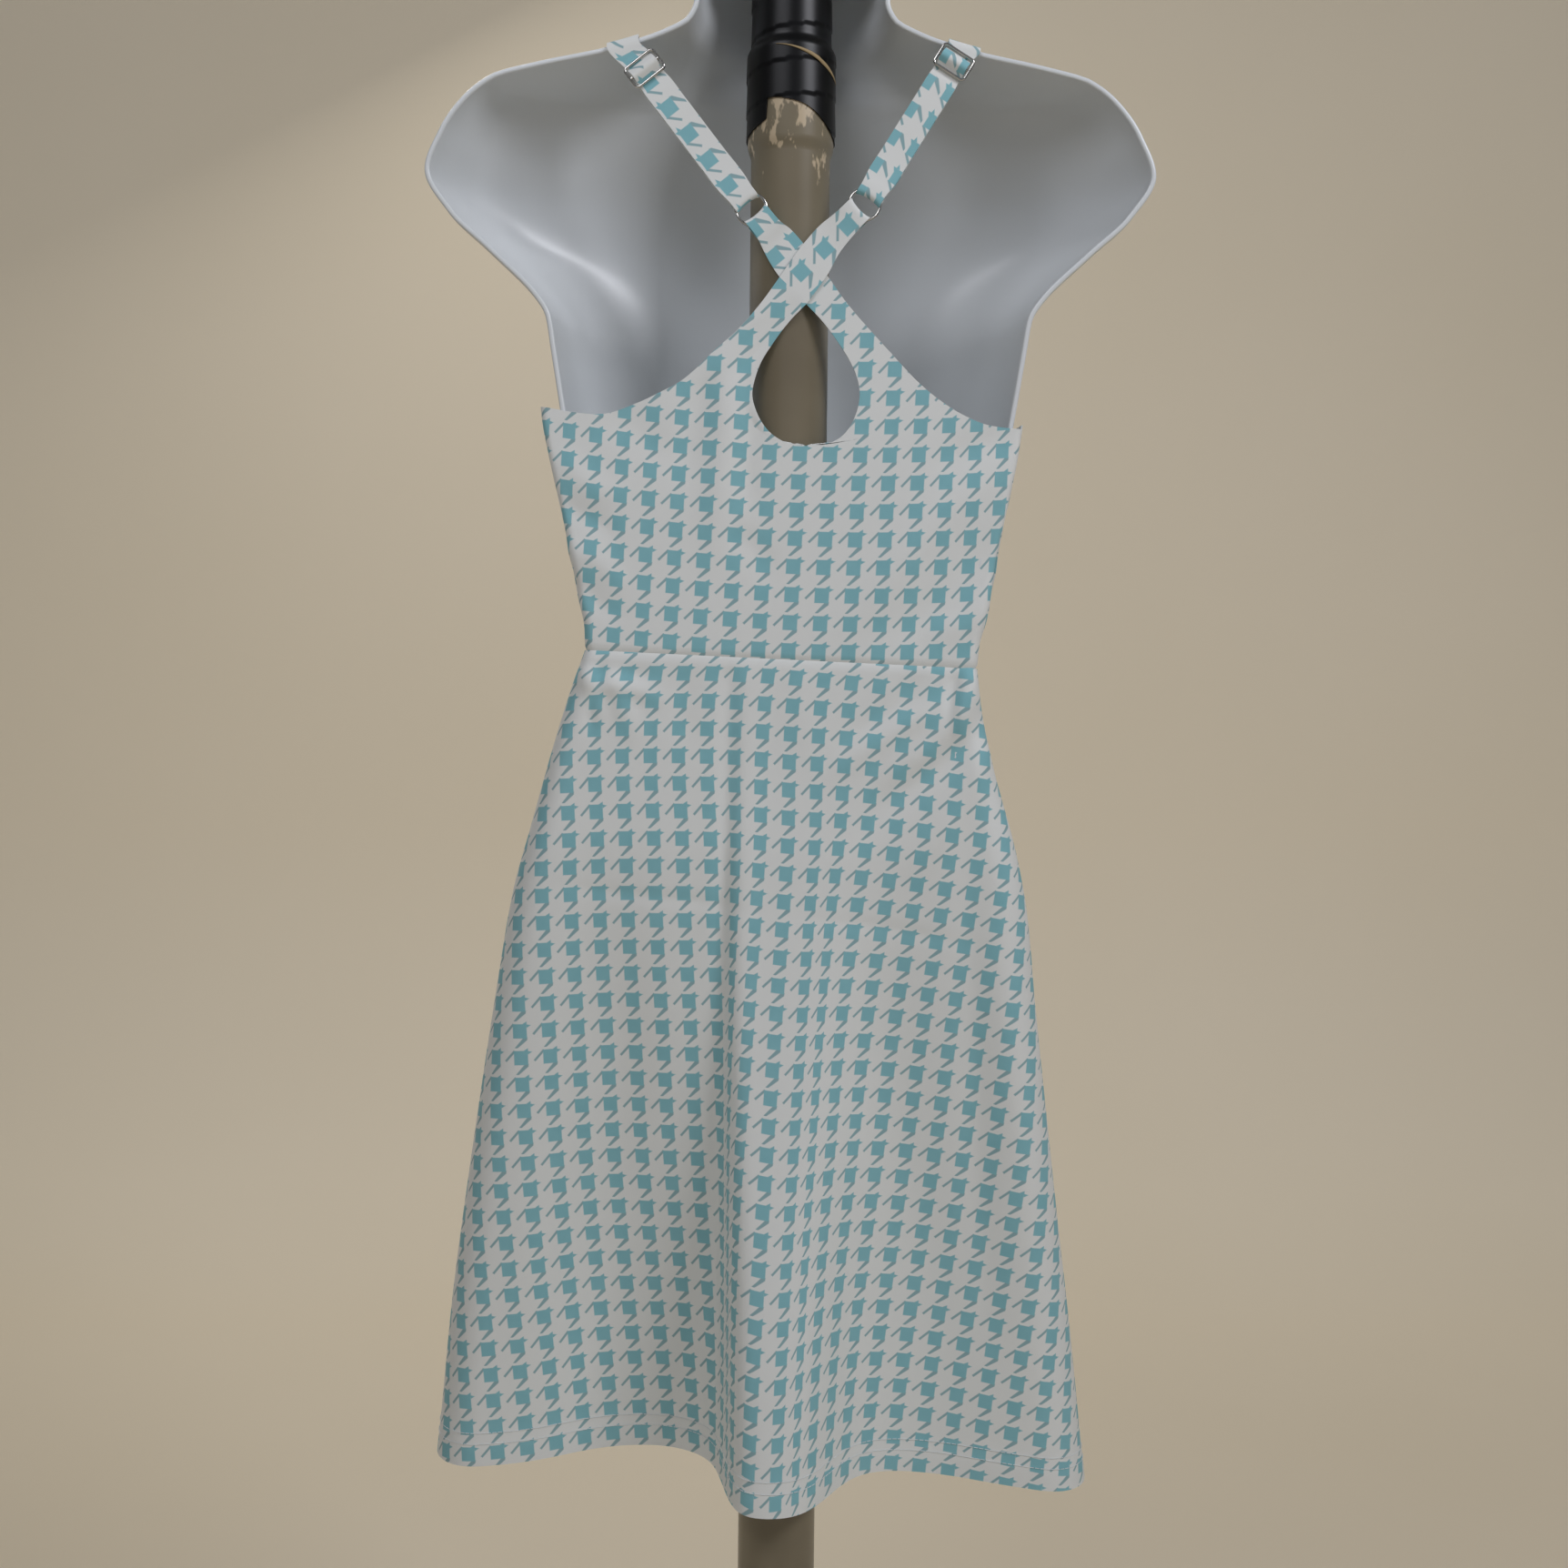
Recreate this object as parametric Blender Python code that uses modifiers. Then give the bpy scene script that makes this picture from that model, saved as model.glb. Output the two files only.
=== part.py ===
"""A sleeveless A-line tennis dress with crossed back straps, on a limbless hollow-backed form and its pole stand.

Blender units are metres, +Z up. The wearer faces +Y, so the open back faces -Y, and +X is to the right as seen
from behind. The pole stands on the origin. Tables are in millimetres: a rise is a height above the waist seam, a
drop is a depth below it, and a depth is measured forwards from the plane of the form's open rim.
"""

import math

import bmesh
import bpy
import numpy as np
from mathutils import Vector

MM = 0.001

# Driving sizes, in metres
WAIST_Z = 1.048
RIM_Y = -0.0225
CLOTH = 0.0012

# Driving sizes, in millimetres
CLOTH_MM = CLOTH / MM
SEAM_GAP = 0.3
SEAM_TRIM = 0.35
WAIST_GAP = 0.7
BACK_MID = -1.0
HANG_SLOPE = 0.037
LEVEL_FROM, LEVEL_AT = 135.0, 245.0
FORM_WALL = 3.0
STRAP_WIDTH = 16.6
STRAP_AT_RING = 14.2
RING_RADIUS = 8.6
WIRE_RADIUS = 0.8
RING_Y = -2.85
LOOP_STRAIGHT, LOOP_END, LOOP_HALF_DEPTH = 4.5, 1.8, 1.85
RETURN_LENGTH = 10.0
ARM_END_Y = -3.0
SLIDER_Y = -3.6
SLIDER_HALF_WIDTH, SLIDER_HALF_LENGTH, SLIDER_CORNER = 9.7, 6.2, 2.0
BAR_CLEAR = 1.8
HEM_DROP = 472.0


def table(names, *rows):
    return {name: np.array(column, float) for name, column in zip(names.split(), zip(*rows))}


FORM = table(
    "rise half depth power bust",
    (-80, 97.5, 109, 2.3, 0),
    (-50, 98.5, 104, 2.3, 0),
    (0, 101, 97, 2.3, 0),
    (40, 107.5, 102, 2.3, 9),
    (75, 115, 108, 2.3, 19),
    (105, 121.5, 112, 2.3, 23),
    (137, 127.3, 114, 2.3, 11),
    (172, 133, 111, 2.3, 3),
    (190, 136, 109, 2.25, 0),
    (200, 142, 107, 2.2, 0),
    (226, 168.5, 103, 2.1, 0),
    (246, 190, 98, 2.1, 0),
    (270, 203.6, 91, 2, 0),
    (292, 195.5, 82, 2, 0),
    (307, 185.4, 75, 2, 0),
    (322.5, 166.3, 68, 2, 0),
    (330, 138.5, 65, 2, 0),
    (337, 105, 66, 2, 0),
    (342.5, 85.4, 68, 2, 0),
    (347.5, 71.7, 70, 2, 0),
    (355, 58.2, 72, 2, 0),
    (364, 54.3, 73, 2, 0),
    (396, 54, 76, 2, 0),
)
BODICE = table(
    "rise left right corner ease",
    (0, -112.9, 108.2, 6, 2.2),
    (12, -113.2, 109, 5, 2.2),
    (28, -116.5, 112.9, 5, 2.2),
    (59, -122.4, 117.8, 4, 2.8),
    (94, -130.2, 123.9, 3, 4.4),
    (137, -138.1, 131.4, 2.8, 5),
    (160, -138.5, 135, 2.8, 4.8),
    (190, -141, 141, 2, 2.8),
    (226, -174, 174, 1, 2.2),
    (260, -204, 204, 1, 2.2),
)
SKIRT = table(
    "drop left right corner depth back",
    (0, -112.9, 108.2, 6, 99.2, -1),
    (20, -120.5, 111, 10, 106, -1),
    (53, -131, 118.5, 13, 117, -1),
    (103, -145.5, 133.5, 18, 131, -1),
    (138, -155.5, 141, 20, 139, 0.5),
    (193, -165.5, 147.5, 22, 149, 3.5),
    (308, -184, 163, 25, 169, 10),
    (378, -194, 173, 27, 180, 13),
    (473, -204, 185, 30, 194, 16),
)
# Folds of the skirt at its hem: a ridge or valley between two flanks, which deepens from its start down to the hem
BACK_FOLDS = table(
    "flank_from softness_from flank_to softness_to depth start",
    (-30, 4, 29, 9, -56, 45),
    (-124, 16, -44, 11, 27, 100),
    (50, 12, 118, 14, 9, 90),
)
FRONT_FOLDS = table(
    "flank_from softness_from flank_to softness_to depth start",
    (-150, 12, -112, 9, 13, 120),
    (-84, 10, -38, 9, -15, 70),
    (-26, 9, 30, 10, 14, 60),
    (44, 9, 86, 10, -14, 80),
    (106, 9, 148, 12, 12, 110),
)
# The edges of the back panel on each side of its centre, from the underarm corner up the arm to its ring
BACK_LEFT = table(
    "outer outer_rise inner inner_rise y",
    (-131, 133.4, 9.6, 101, -1),
    (-118, 131.8, 10, 108, -1),
    (-102.5, 132, 10.2, 114, -1),
    (-85.5, 138.3, 10.4, 119.3, -1),
    (-71.5, 145.4, -2, 121.2, -1),
    (-60, 152.2, -11.7, 127.8, -1),
    (-51.5, 159.6, -17.9, 138, -1),
    (-45.5, 165.8, -20, 147, -1),
    (-40.5, 171, -18.1, 157.1, -1),
    (-35, 175.8, -14.6, 166, -1),
    (-29.4, 181.1, -8.6, 175.6, -1.1),
    (-16.4, 196.2, 1, 188.4, -1.8),
    (-5.4, 211.6, 9.8, 197.4, -2.6),
    (7.6, 230, 21.5, 214, -2.6),
    (17, 240.5, 28.5, 226.5, -2.6),
)
BACK_RIGHT = table(
    "outer outer_rise inner inner_rise y",
    (128.2, 134.5, 9.6, 101, -1),
    (119, 135, 10, 108, -1),
    (109.5, 136.4, 10.2, 114, -1),
    (99.5, 140, 10.4, 119.3, -1),
    (85, 148, 21.5, 120.9, -1),
    (73, 157, 31.5, 127, -1),
    (65, 164.5, 37.5, 137, -1),
    (59, 170.5, 40, 149, -1),
    (52, 177.5, 38, 159.5, -1),
    (45.5, 184.2, 33.5, 168.5, -1),
    (39, 191, 27, 178, -1),
    (31.5, 199.5, 19.5, 187.5, -1),
    (22.4, 211.6, 9.8, 197.4, -1),
    (8.2, 230, -5.4, 212, -1),
    (-0.5, 239, -13.5, 224.5, -1.6),
)
# The edges of the front panel on each side of its centre, from the underarm corner to its strap corner
FRONT_EDGE = table(
    "outer outer_rise inner inner_rise",
    (130, 138.5, 0, 113),
    (124, 143.5, 0, 130),
    (117, 151.5, 0, 147),
    (110.5, 163, 0, 165),
    (106, 176, 0, 183),
    (102.5, 190, 22, 184.5),
    (99.5, 205, 42, 191),
    (96, 229, 58, 206),
    (94.2, 243, 68.5, 228),
    (93.3, 255, 76.7, 255),
)
LEFT_RING = (-21.5, 248.7)
RIGHT_RING = (41.4, 251.8)


def smooth_at(places, values, at):
    """Reads a smooth curve through the table's points, one that never overshoots them."""
    at = min(max(at, places[0]), places[-1])
    first = min(int(np.searchsorted(places, at, side="right")) - 1, len(places) - 2)
    steps = np.diff(places)
    slopes = np.diff(values) / steps

    def tangent(point):
        if point in (0, len(places) - 1):
            return slopes[min(point, len(slopes) - 1)]
        before, after = slopes[point - 1], slopes[point]
        return 2 * before * after / (before + after) if before * after > 0 else 0.0

    step = steps[first]
    t = (at - places[first]) / step
    start = (1 + 2 * t) * (1 - t) ** 2 * values[first] + t * (1 - t) ** 2 * step * tangent(first)
    end = t * t * (3 - 2 * t) * values[first + 1] - t * t * (1 - t) * step * tangent(first + 1)
    return start + end


def read(rows, at, *names):
    places = next(iter(rows.values()))
    return [smooth_at(places, rows[name], at) for name in names]


def ease_between(value, low, high):
    t = min(max((value - low) / (high - low), 0.0), 1.0)
    return t * t * (3 - 2 * t)


def signed_power(value, power):
    return math.copysign(abs(value) ** power, value)


def place(x, y, rise):
    """A point of the stand or the form: millimetres beside the pole, forward of the rim and above the waist."""
    return Vector((x * MM, RIM_Y + y * MM, WAIST_Z + rise * MM))


def hang(x, y, rise):
    """A point of the dress, which hangs a little lower on its right side than on its left."""
    level = ease_between(rise, LEVEL_FROM, LEVEL_AT)
    return place(x, y, rise - HANG_SLOPE * (1 - level) * x)


def bust_mound(x, bridged):
    centre, spread = 58.0, 34.0
    away = abs(x) - centre
    if bridged and away < 0:
        return 1.0
    return math.exp(-((away / spread) ** 2))


def form_point(angle, rise):
    """(x, y) of the form's outer face: angle 0 is the left rim and pi is the right rim."""
    half, depth, power, bust = read(FORM, rise, "half", "depth", "power", "bust")
    x = -half * signed_power(math.cos(angle), 2 / power)
    forward = abs(math.sin(angle)) ** (2 / power)
    return x, (depth + bust * bust_mound(x, False)) * forward


def form_depth(x, rise):
    half, depth, power, bust = read(FORM, rise, "half", "depth", "power", "bust")
    across = min(abs(x) / half, 1.0)
    return (depth + bust * bust_mound(x, False)) * (1 - across**power) ** (1 / power)


def rim_rise(x):
    """The height of the form's shoulder line at this x."""
    low, high = 322.5, 364.0
    for _ in range(30):
        middle = (low + high) / 2
        if read(FORM, middle, "half")[0] > abs(x):
            low = middle
        else:
            high = middle
    return low


def top_rise(x, depth):
    """The height at which the form's shoulder reaches this depth at this x."""
    low, high = 270.0, rim_rise(x)
    for _ in range(30):
        middle = (low + high) / 2
        if form_depth(x, middle) > depth:
            low = middle
        else:
            high = middle
    return low


def front_angle(x, rise):
    left, right = read(BODICE, rise, "left", "right")
    power = read(FORM, rise, "power")[0]
    across = min(max((x - (left + right) / 2) / ((right - left) / 2), -1.0), 1.0)
    return math.acos(-signed_power(across, power / 2))


def front_point(angle, rise):
    """(x, y) of the bodice front's middle surface, which bridges the bust."""
    left, right, corner, ease = read(BODICE, rise, "left", "right", "corner", "ease")
    depth, power, bust = read(FORM, rise, "depth", "power", "bust")
    start = BACK_MID + corner
    x = (left + right) / 2 - (right - left) / 2 * signed_power(math.cos(angle), 2 / power)
    forward = abs(math.sin(angle)) ** (2 / power)
    return x, start + (depth + ease - start + bust * bust_mound(x, True)) * forward


def back_point(flat, rise, y):
    """(x, y) of the back panel at this distance along its cloth from the middle of the back."""
    left, right, corner = read(BODICE, rise, "left", "right", "corner")
    return wrap_corner(flat, left, right, corner, y)


def wrap_corner(flat, left, right, corner, y):
    side = right if flat > 0 else left
    past = abs(flat) - (abs(side) - corner)
    if past <= 0:
        return flat, y
    turn = min(past / corner, math.pi / 2)
    return math.copysign(abs(side) - corner + corner * math.sin(turn), flat), y + corner * (1 - math.cos(turn))


def seam_flat(rise, sign):
    """How far along the cloth the side seam lies, less half of the gap at the seam."""
    left, right, corner = read(BODICE, rise, "left", "right", "corner")
    side = right if sign > 0 else -left
    return sign * (side - corner + corner * math.pi / 2 - SEAM_TRIM)


def fold(folds, x, drop):
    """How far the folds move the cloth inwards at this x."""
    total = 0.0
    for start_at, soft_start, end_at, soft_end, depth, start in zip(*folds.values()):
        grown = ease_between(drop, start, HEM_DROP + 90)
        into = 1 / (1 + math.exp(-(x - start_at) / soft_start))
        out_of = 1 / (1 + math.exp((x - end_at) / soft_end))
        total += depth * grown * into * out_of
    return total


def skirt_back_line(drop):
    """Dense (x, y) points round the back from the left side seam to the right one."""
    left, right, corner, back = read(SKIRT, drop, "left", "right", "corner", "back")
    points = []
    for flat in np.linspace(left + corner - corner * math.pi / 2, right - corner + corner * math.pi / 2, 400):
        x, y = wrap_corner(flat, left, right, corner, back)
        clear_of_seam = ease_between(min(x - left, right - x), 0, 30)
        points.append((x, y + fold(BACK_FOLDS, x, drop) * clear_of_seam))
    return points


def skirt_front_line(drop):
    """Dense (x, y) points round the front from the left side seam to the right one."""
    left, right, corner, depth, back = read(SKIRT, drop, "left", "right", "corner", "depth", "back")
    power = read(FORM, -drop, "power")[0]
    start = back + corner
    points = []
    for angle in np.linspace(0, math.pi, 400):
        x = (left + right) / 2 - (right - left) / 2 * signed_power(math.cos(angle), 2 / power)
        forward = math.sin(angle) ** (2 / power)
        points.append((x, start + (depth - start - fold(FRONT_FOLDS, x, drop)) * forward))
    return points


def even_points(line, count, trim):
    """Points at equal steps along a line, its two ends cut back by the trim."""
    line = np.array(line)
    lengths = np.concatenate([[0], np.cumsum(np.hypot(*np.diff(line, axis=0).T))])
    wanted = np.linspace(trim, lengths[-1] - trim, count)
    return np.stack([np.interp(wanted, lengths, line[:, axis]) for axis in (0, 1)], axis=1)


def hem_drop(x, back):
    """The hem hangs lower at the sides and on the back's centre fold."""
    drop = HEM_DROP + 9 * (abs(x) / 195) ** 2
    if back:
        drop += 5 * fold(BACK_FOLDS, x, HEM_DROP) / -56
    return drop


def material(name, colour, roughness, metallic=0.0):
    made = bpy.data.materials.new(name)
    made.use_nodes = True
    shader = made.node_tree.nodes["Principled BSDF"]
    shader.inputs["Base Color"].default_value = (*colour, 1)
    shader.inputs["Roughness"].default_value = roughness
    shader.inputs["Metallic"].default_value = metallic
    return made


def add_object(name, data, made_of):
    obj = bpy.data.objects.new(name, data)
    parts.objects.link(obj)
    data.materials.append(made_of)
    return obj


def mesh_object(name, mesh_edit, made_of):
    mesh = bpy.data.meshes.new(name)
    mesh_edit.to_mesh(mesh)
    mesh_edit.free()
    mesh.shade_smooth()
    mesh.set_sharp_from_angle(angle=math.radians(40))
    return add_object(name, mesh, made_of)


def add_patch(mesh_edit, rows):
    """A loft through rows of points with the same count."""
    grid = [[mesh_edit.verts.new(point) for point in row] for row in rows]
    for near, far in zip(grid, grid[1:]):
        for i in range(len(near) - 1):
            mesh_edit.faces.new((near[i], near[i + 1], far[i + 1], far[i]))


def wall_object(name, patches, thickness, made_of, offset=0.0):
    """An open surface of one or more patches, welded where they share points and thickened to a wall."""
    mesh_edit = bmesh.new()
    for rows in patches:
        add_patch(mesh_edit, rows)
    bmesh.ops.remove_doubles(mesh_edit, verts=mesh_edit.verts, dist=1e-6)
    bmesh.ops.recalc_face_normals(mesh_edit, faces=mesh_edit.faces)
    obj = mesh_object(name, mesh_edit, made_of)
    wall = obj.modifiers.new("Wall", "SOLIDIFY")
    wall.thickness = thickness
    wall.offset = offset
    wall.use_quality_normals = True
    return obj


def turned_object(name, profile, centre, steps, made_of):
    """A solid turned round a vertical axis from an outline of (radius, height), run down its outer side."""
    mesh_edit = bmesh.new()
    points = [mesh_edit.verts.new((radius, 0, height)) for radius, height in profile]
    for first, second in zip(points, points[1:]):
        mesh_edit.edges.new((first, second))
    if profile[0][0] > 0:
        mesh_edit.edges.new((points[-1], points[0]))
    obj = mesh_object(name, mesh_edit, made_of)
    obj.location = centre
    screw = obj.modifiers.new("Turn", "SCREW")
    screw.steps = steps
    screw.render_steps = steps
    screw.use_merge_vertices = True
    screw.merge_threshold = 1e-5
    screw.use_normal_calculate = True
    return obj


def form_shell():
    """The hollow front half of a torso, from the hips to the neck."""
    rises = (-80, -40, 0, 40, 72, 96, 118, 142, 166, 186, 203, 224, 246, 260, 274, 289)
    rises += (302, 312, 319, 324, 328, 331.5, 335.5, 340, 345.5, 352, 362, 396)
    rows = []
    for rise in rises:
        angles = np.linspace(0, math.pi, 25)
        rows.append([place(*form_point(angle, rise), rise) for angle in angles])
    return wall_object("form_shell", [rows], FORM_WALL * MM, plastic, offset=-1.0)


def neck_cap():
    """A plain plate that closes the neck and lies on the end of the pole, which carries the form by it."""
    top = FORM["rise"][-1] + 2 * SEAM_GAP
    thickness = 6.0
    outline = [form_point(angle, FORM["rise"][-1]) for angle in np.linspace(0, math.pi, 25)]
    curve = bpy.data.curves.new("neck_cap", "CURVE")
    curve.dimensions = "2D"
    curve.fill_mode = "BOTH"
    curve.extrude = thickness / 2 * MM
    spline = curve.splines.new("POLY")
    spline.points.add(len(outline) - 1)
    for point, (x, y) in zip(spline.points, outline):
        point.co = (x * MM, y * MM, 0, 1)
    spline.use_cyclic_u = True
    cap = add_object("neck_cap", curve, plastic)
    cap.location = place(0, 0, top + thickness / 2)


def stand():
    """A round base plate with a boss, the pole with the coupling of its two lengths, and the tape wound on it."""
    plate_radius, plate_height = 0.175, 0.010
    boss_radius, boss_height = 0.034, 0.052
    pole_radius, coupling_radius, upper_radius = 0.0225, 0.0244, 0.0219
    bore_radius = pole_radius + 0.0004
    floor = 0.006
    coupling_low, coupling_high = WAIST_Z + 0.283, WAIST_Z + 0.341
    pole_top = WAIST_Z + (FORM["rise"][-1] + SEAM_GAP) * MM
    turned_object(
        "base_plate",
        [
            (0, floor),
            (bore_radius, floor),
            (bore_radius, boss_height),
            (boss_radius - 0.002, boss_height),
            (boss_radius, boss_height - 0.002),
            (boss_radius, plate_height + 0.006),
            (boss_radius + 0.006, plate_height),
            (plate_radius - 0.003, plate_height),
            (plate_radius, plate_height - 0.003),
            (plate_radius, 0.001),
            (plate_radius - 0.001, 0),
            (0, 0),
        ],
        (0, 0, 0),
        32,
        painted_steel,
    )
    turned_object(
        "pole",
        [
            (0, pole_top),
            (upper_radius, pole_top),
            (upper_radius, coupling_high + 0.002),
            (coupling_radius, coupling_high),
            (coupling_radius, coupling_low + 0.008),
            (pole_radius, coupling_low),
            (pole_radius, floor + SEAM_GAP * MM),
            (0, floor + SEAM_GAP * MM),
        ],
        (0, 0, 0),
        32,
        pipe,
    )
    tape_low, tape_high = WAIST_Z + 0.311, WAIST_Z + 0.390
    tape_gap, tape_wall = 0.0004, 0.0008
    step = coupling_high + 0.003
    inner, outer = coupling_radius + tape_gap, coupling_radius + tape_gap + tape_wall
    inner_top, outer_top = upper_radius + tape_gap, upper_radius + tape_gap + tape_wall
    turned_object(
        "pole_tape",
        [
            (inner_top, tape_high),
            (outer_top, tape_high),
            (outer_top, step + 0.0015),
            (outer, step - 0.0005),
            (outer, tape_low),
            (inner, tape_low),
            (inner, step - 0.001),
            (inner_top, step + 0.001),
        ],
        (0, 0, 0),
        32,
        tape,
    )


def across_row(outer, inner, count):
    return [outer + (inner - outer) * i / (count - 1) for i in range(count)]


def strap_crest(side):
    """Where the middle of a strap crosses the form's shoulder line."""
    x = 93.5 if side < 0 else 95.7
    return np.array([side * x, rim_rise(x)])


def ring_frame(ring, towards):
    """The unit direction from a ring to a point, and the point of its wire's centre line on that side."""
    way = np.array(towards) - np.array(ring)
    way = way / np.hypot(*way)
    return way, np.array(ring) + RING_RADIUS * way


def loop_stations():
    """(along, depth) of a cloth loop over a ring's wire, round its far side and back to the strap's underside."""
    over, under = RING_Y - LOOP_HALF_DEPTH, RING_Y + LOOP_HALF_DEPTH
    stations = [(0.0, over), (-LOOP_STRAIGHT, over)]
    for turn in np.linspace(0, math.pi, 7)[1:-1]:
        stations.append((-LOOP_STRAIGHT - LOOP_END * math.sin(turn), RING_Y - LOOP_HALF_DEPTH * math.cos(turn)))
    stations.append((-LOOP_STRAIGHT, under))
    return stations


def arm_end_rows(wire, away, outer_side, count):
    """Rows of an arm's end, up to its ring, round the wire and back under the arm; away points down the arm."""
    under = RING_Y + LOOP_HALF_DEPTH
    stations = [(RETURN_LENGTH * 0.9, ARM_END_Y, STRAP_AT_RING + 0.4)]
    stations += [(along, y, STRAP_AT_RING) for along, y in loop_stations()]
    stations += [(RETURN_LENGTH / 2, under, STRAP_AT_RING), (RETURN_LENGTH, under, STRAP_AT_RING)]
    rows = []
    for along, y, width in stations:
        row = []
        for offset in np.linspace(width / 2, -width / 2, count):
            x, rise = wire + away * along + outer_side * offset
            row.append(place(x, y, rise))
        rows.append(row)
    return rows


def bodice_back():
    """One panel from the waist to the armholes, with two arms that cross above the keyhole."""
    columns = 9
    body_fractions = np.linspace(0, 1, 9)
    corner_rise, centre_rise = 134.6, 93.0
    centre_low, centre_high = -2.3, 9.2
    patches = []
    for sign, edges, ring in ((-1, BACK_LEFT, RIGHT_RING), (1, BACK_RIGHT, LEFT_RING)):
        rows = []
        for part in body_fractions:
            outer_rise, inner_rise = corner_rise * part, centre_rise * part
            centre = centre_low + (centre_high - centre_low) * part
            flats = across_row(seam_flat(outer_rise, sign), centre, columns)
            corner = read(BODICE, outer_rise, "corner")[0]
            corner_flats = [flats[0] - sign * corner * math.pi / 2 * turned for turned in (0, 1 / 3, 2 / 3, 1)]
            flats = corner_flats + across_row(corner_flats[-1], centre, columns - 3)[1:]
            rises = [outer_rise] * 3 + across_row(outer_rise, inner_rise, columns - 3)
            rows.append([hang(*back_point(f, r, BACK_MID), r) for f, r in zip(flats, rises)])
        shares = (np.array(flats) - flats[0]) / (flats[-1] - flats[0])
        for number, (outer, outer_rise, inner, inner_rise, y) in enumerate(zip(*edges.values())):
            evened = ease_between(number, 0, 7)
            spread = shares * (1 - evened) + np.linspace(0, 1, columns) * evened
            flats = outer + (inner - outer) * spread
            rises = outer_rise + (inner_rise - outer_rise) * spread
            rows.append([hang(*back_point(f, r, y), r) for f, r in zip(flats, rises)])
        arm_x = (edges["outer"][-1] + edges["inner"][-1]) / 2
        arm_rise = (edges["outer_rise"][-1] + edges["inner_rise"][-1]) / 2
        away, wire = ring_frame(ring, (arm_x, arm_rise))
        outer_side = np.array([away[1], -away[0]])
        outer_side = outer_side * math.copysign(1.0, outer_side[1])
        rows += arm_end_rows(wire, away, outer_side, columns)
        patches.append(rows)
    return wall_object("bodice_back", patches, CLOTH, knit)


def bodice_front():
    """One panel from side seam to side seam, up to a scooped neckline and two strap corners."""
    columns = 12
    corner_rise, first_inner = 134.6, 97.0
    patches = []
    for sign in (-1, 1):
        rows = []
        for part in np.linspace(0, 1, 9):
            outer_rise, inner_rise = corner_rise * part, first_inner * part
            seam = SEAM_GAP / 2 / read(FORM, outer_rise, "depth")[0]
            outer = seam if sign < 0 else math.pi - seam
            angles = across_row(outer, front_angle(0, outer_rise), columns)
            rises = across_row(outer_rise, inner_rise, columns)
            rows.append([hang(*front_point(a, r), r) for a, r in zip(angles, rises)])
        for outer, outer_rise, inner, inner_rise in zip(*FRONT_EDGE.values()):
            xs = (sign * outer, sign * inner)
            angles = across_row(front_angle(xs[0], outer_rise), front_angle(xs[1], inner_rise), columns)
            rises = across_row(outer_rise, inner_rise, columns)
            rows.append([hang(*front_point(a, r), r) for a, r in zip(angles, rises)])
        patches.append(rows)
    return wall_object("bodice_front", patches, CLOTH, knit)


def skirt_panel(name, line, columns, back):
    """An A-line panel from the waist seam to the hem."""
    rows = []
    fractions = (0, 0.03, 0.08, 0.15, 0.23, 0.32, 0.42, 0.52, 0.62, 0.72, 0.82, 0.91, 1)
    for part in fractions:
        points = even_points(line(HEM_DROP * part), columns, SEAM_TRIM)
        rows.append([hang(x, y, -WAIST_GAP - (hem_drop(x, back) - WAIST_GAP) * part) for x, y in points])
    return wall_object(name, [rows], CLOTH, knit)


def strap_stations(ring, from_crest, side):
    """(centre, depth, across vector) of the strap's rows, from under the slider and round the ring to the crest."""
    crest = strap_crest(side)
    up, wire = ring_frame(ring, crest)
    slider = np.hypot(*(crest - wire)) - from_crest
    low_bar = slider - SLIDER_HALF_LENGTH
    perp = np.array([up[1], -up[0]])
    stations = []

    def flat_station(along, y, width=STRAP_WIDTH):
        stations.append((wire + up * along, y, perp * width / 2))

    under, over, snug = SLIDER_Y + BAR_CLEAR, SLIDER_Y - BAR_CLEAR, STRAP_WIDTH - 0.6
    flat_station(slider + 1.2, under, snug)
    flat_station(slider - 1.8, under + 0.3, snug)
    flat_station(slider - 4.2, -0.75, snug)
    flat_station(low_bar, -0.3)
    flat_station(low_bar - 5, -0.6)
    for part in (0.75, 0.5, 0.25):
        flat_station(12 + (low_bar - 17) * part, -1.0)
    flat_station(8, -1.0, STRAP_AT_RING + 1)
    for along, y in reversed(loop_stations()):
        flat_station(along, y, STRAP_AT_RING)
    flat_station(8, -3.6, STRAP_AT_RING + 1)
    for part in (0.2, 0.5, 0.8):
        flat_station(12 + (low_bar - 17) * part, -2.7)
    flat_station(low_bar - 5, -2.4)
    flat_station(low_bar - 1.4, under, snug)
    for part in (0, 0.25, 0.5, 0.75):
        wave = (1 - math.cos(math.pi * part)) / 2
        flat_station(low_bar + SLIDER_HALF_LENGTH * part, under + (over - under) * wave, snug)
    flat_station(slider - 0.7, over, snug)
    flat_station(slider + 0.7, over, snug)
    for part in (0.25, 0.5, 0.75, 1):
        wave = (1 + math.cos(math.pi * part)) / 2
        flat_station(slider + SLIDER_HALF_LENGTH * part, under + (over - under) * wave, snug)
    return crest, stations


def shoulder_strap(name, ring, from_crest, side):
    columns = 5
    crest, stations = strap_stations(ring, from_crest, side)
    rows = []
    for centre, y, across in stations:
        flat = [centre + across * share for share in np.linspace(-1, 1, columns)]
        rows.append([place(x, y, rise) for x, rise in flat])
    rows += crest_rows(crest, side, columns)
    return wall_object(name, [rows], CLOTH, knit)


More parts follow.
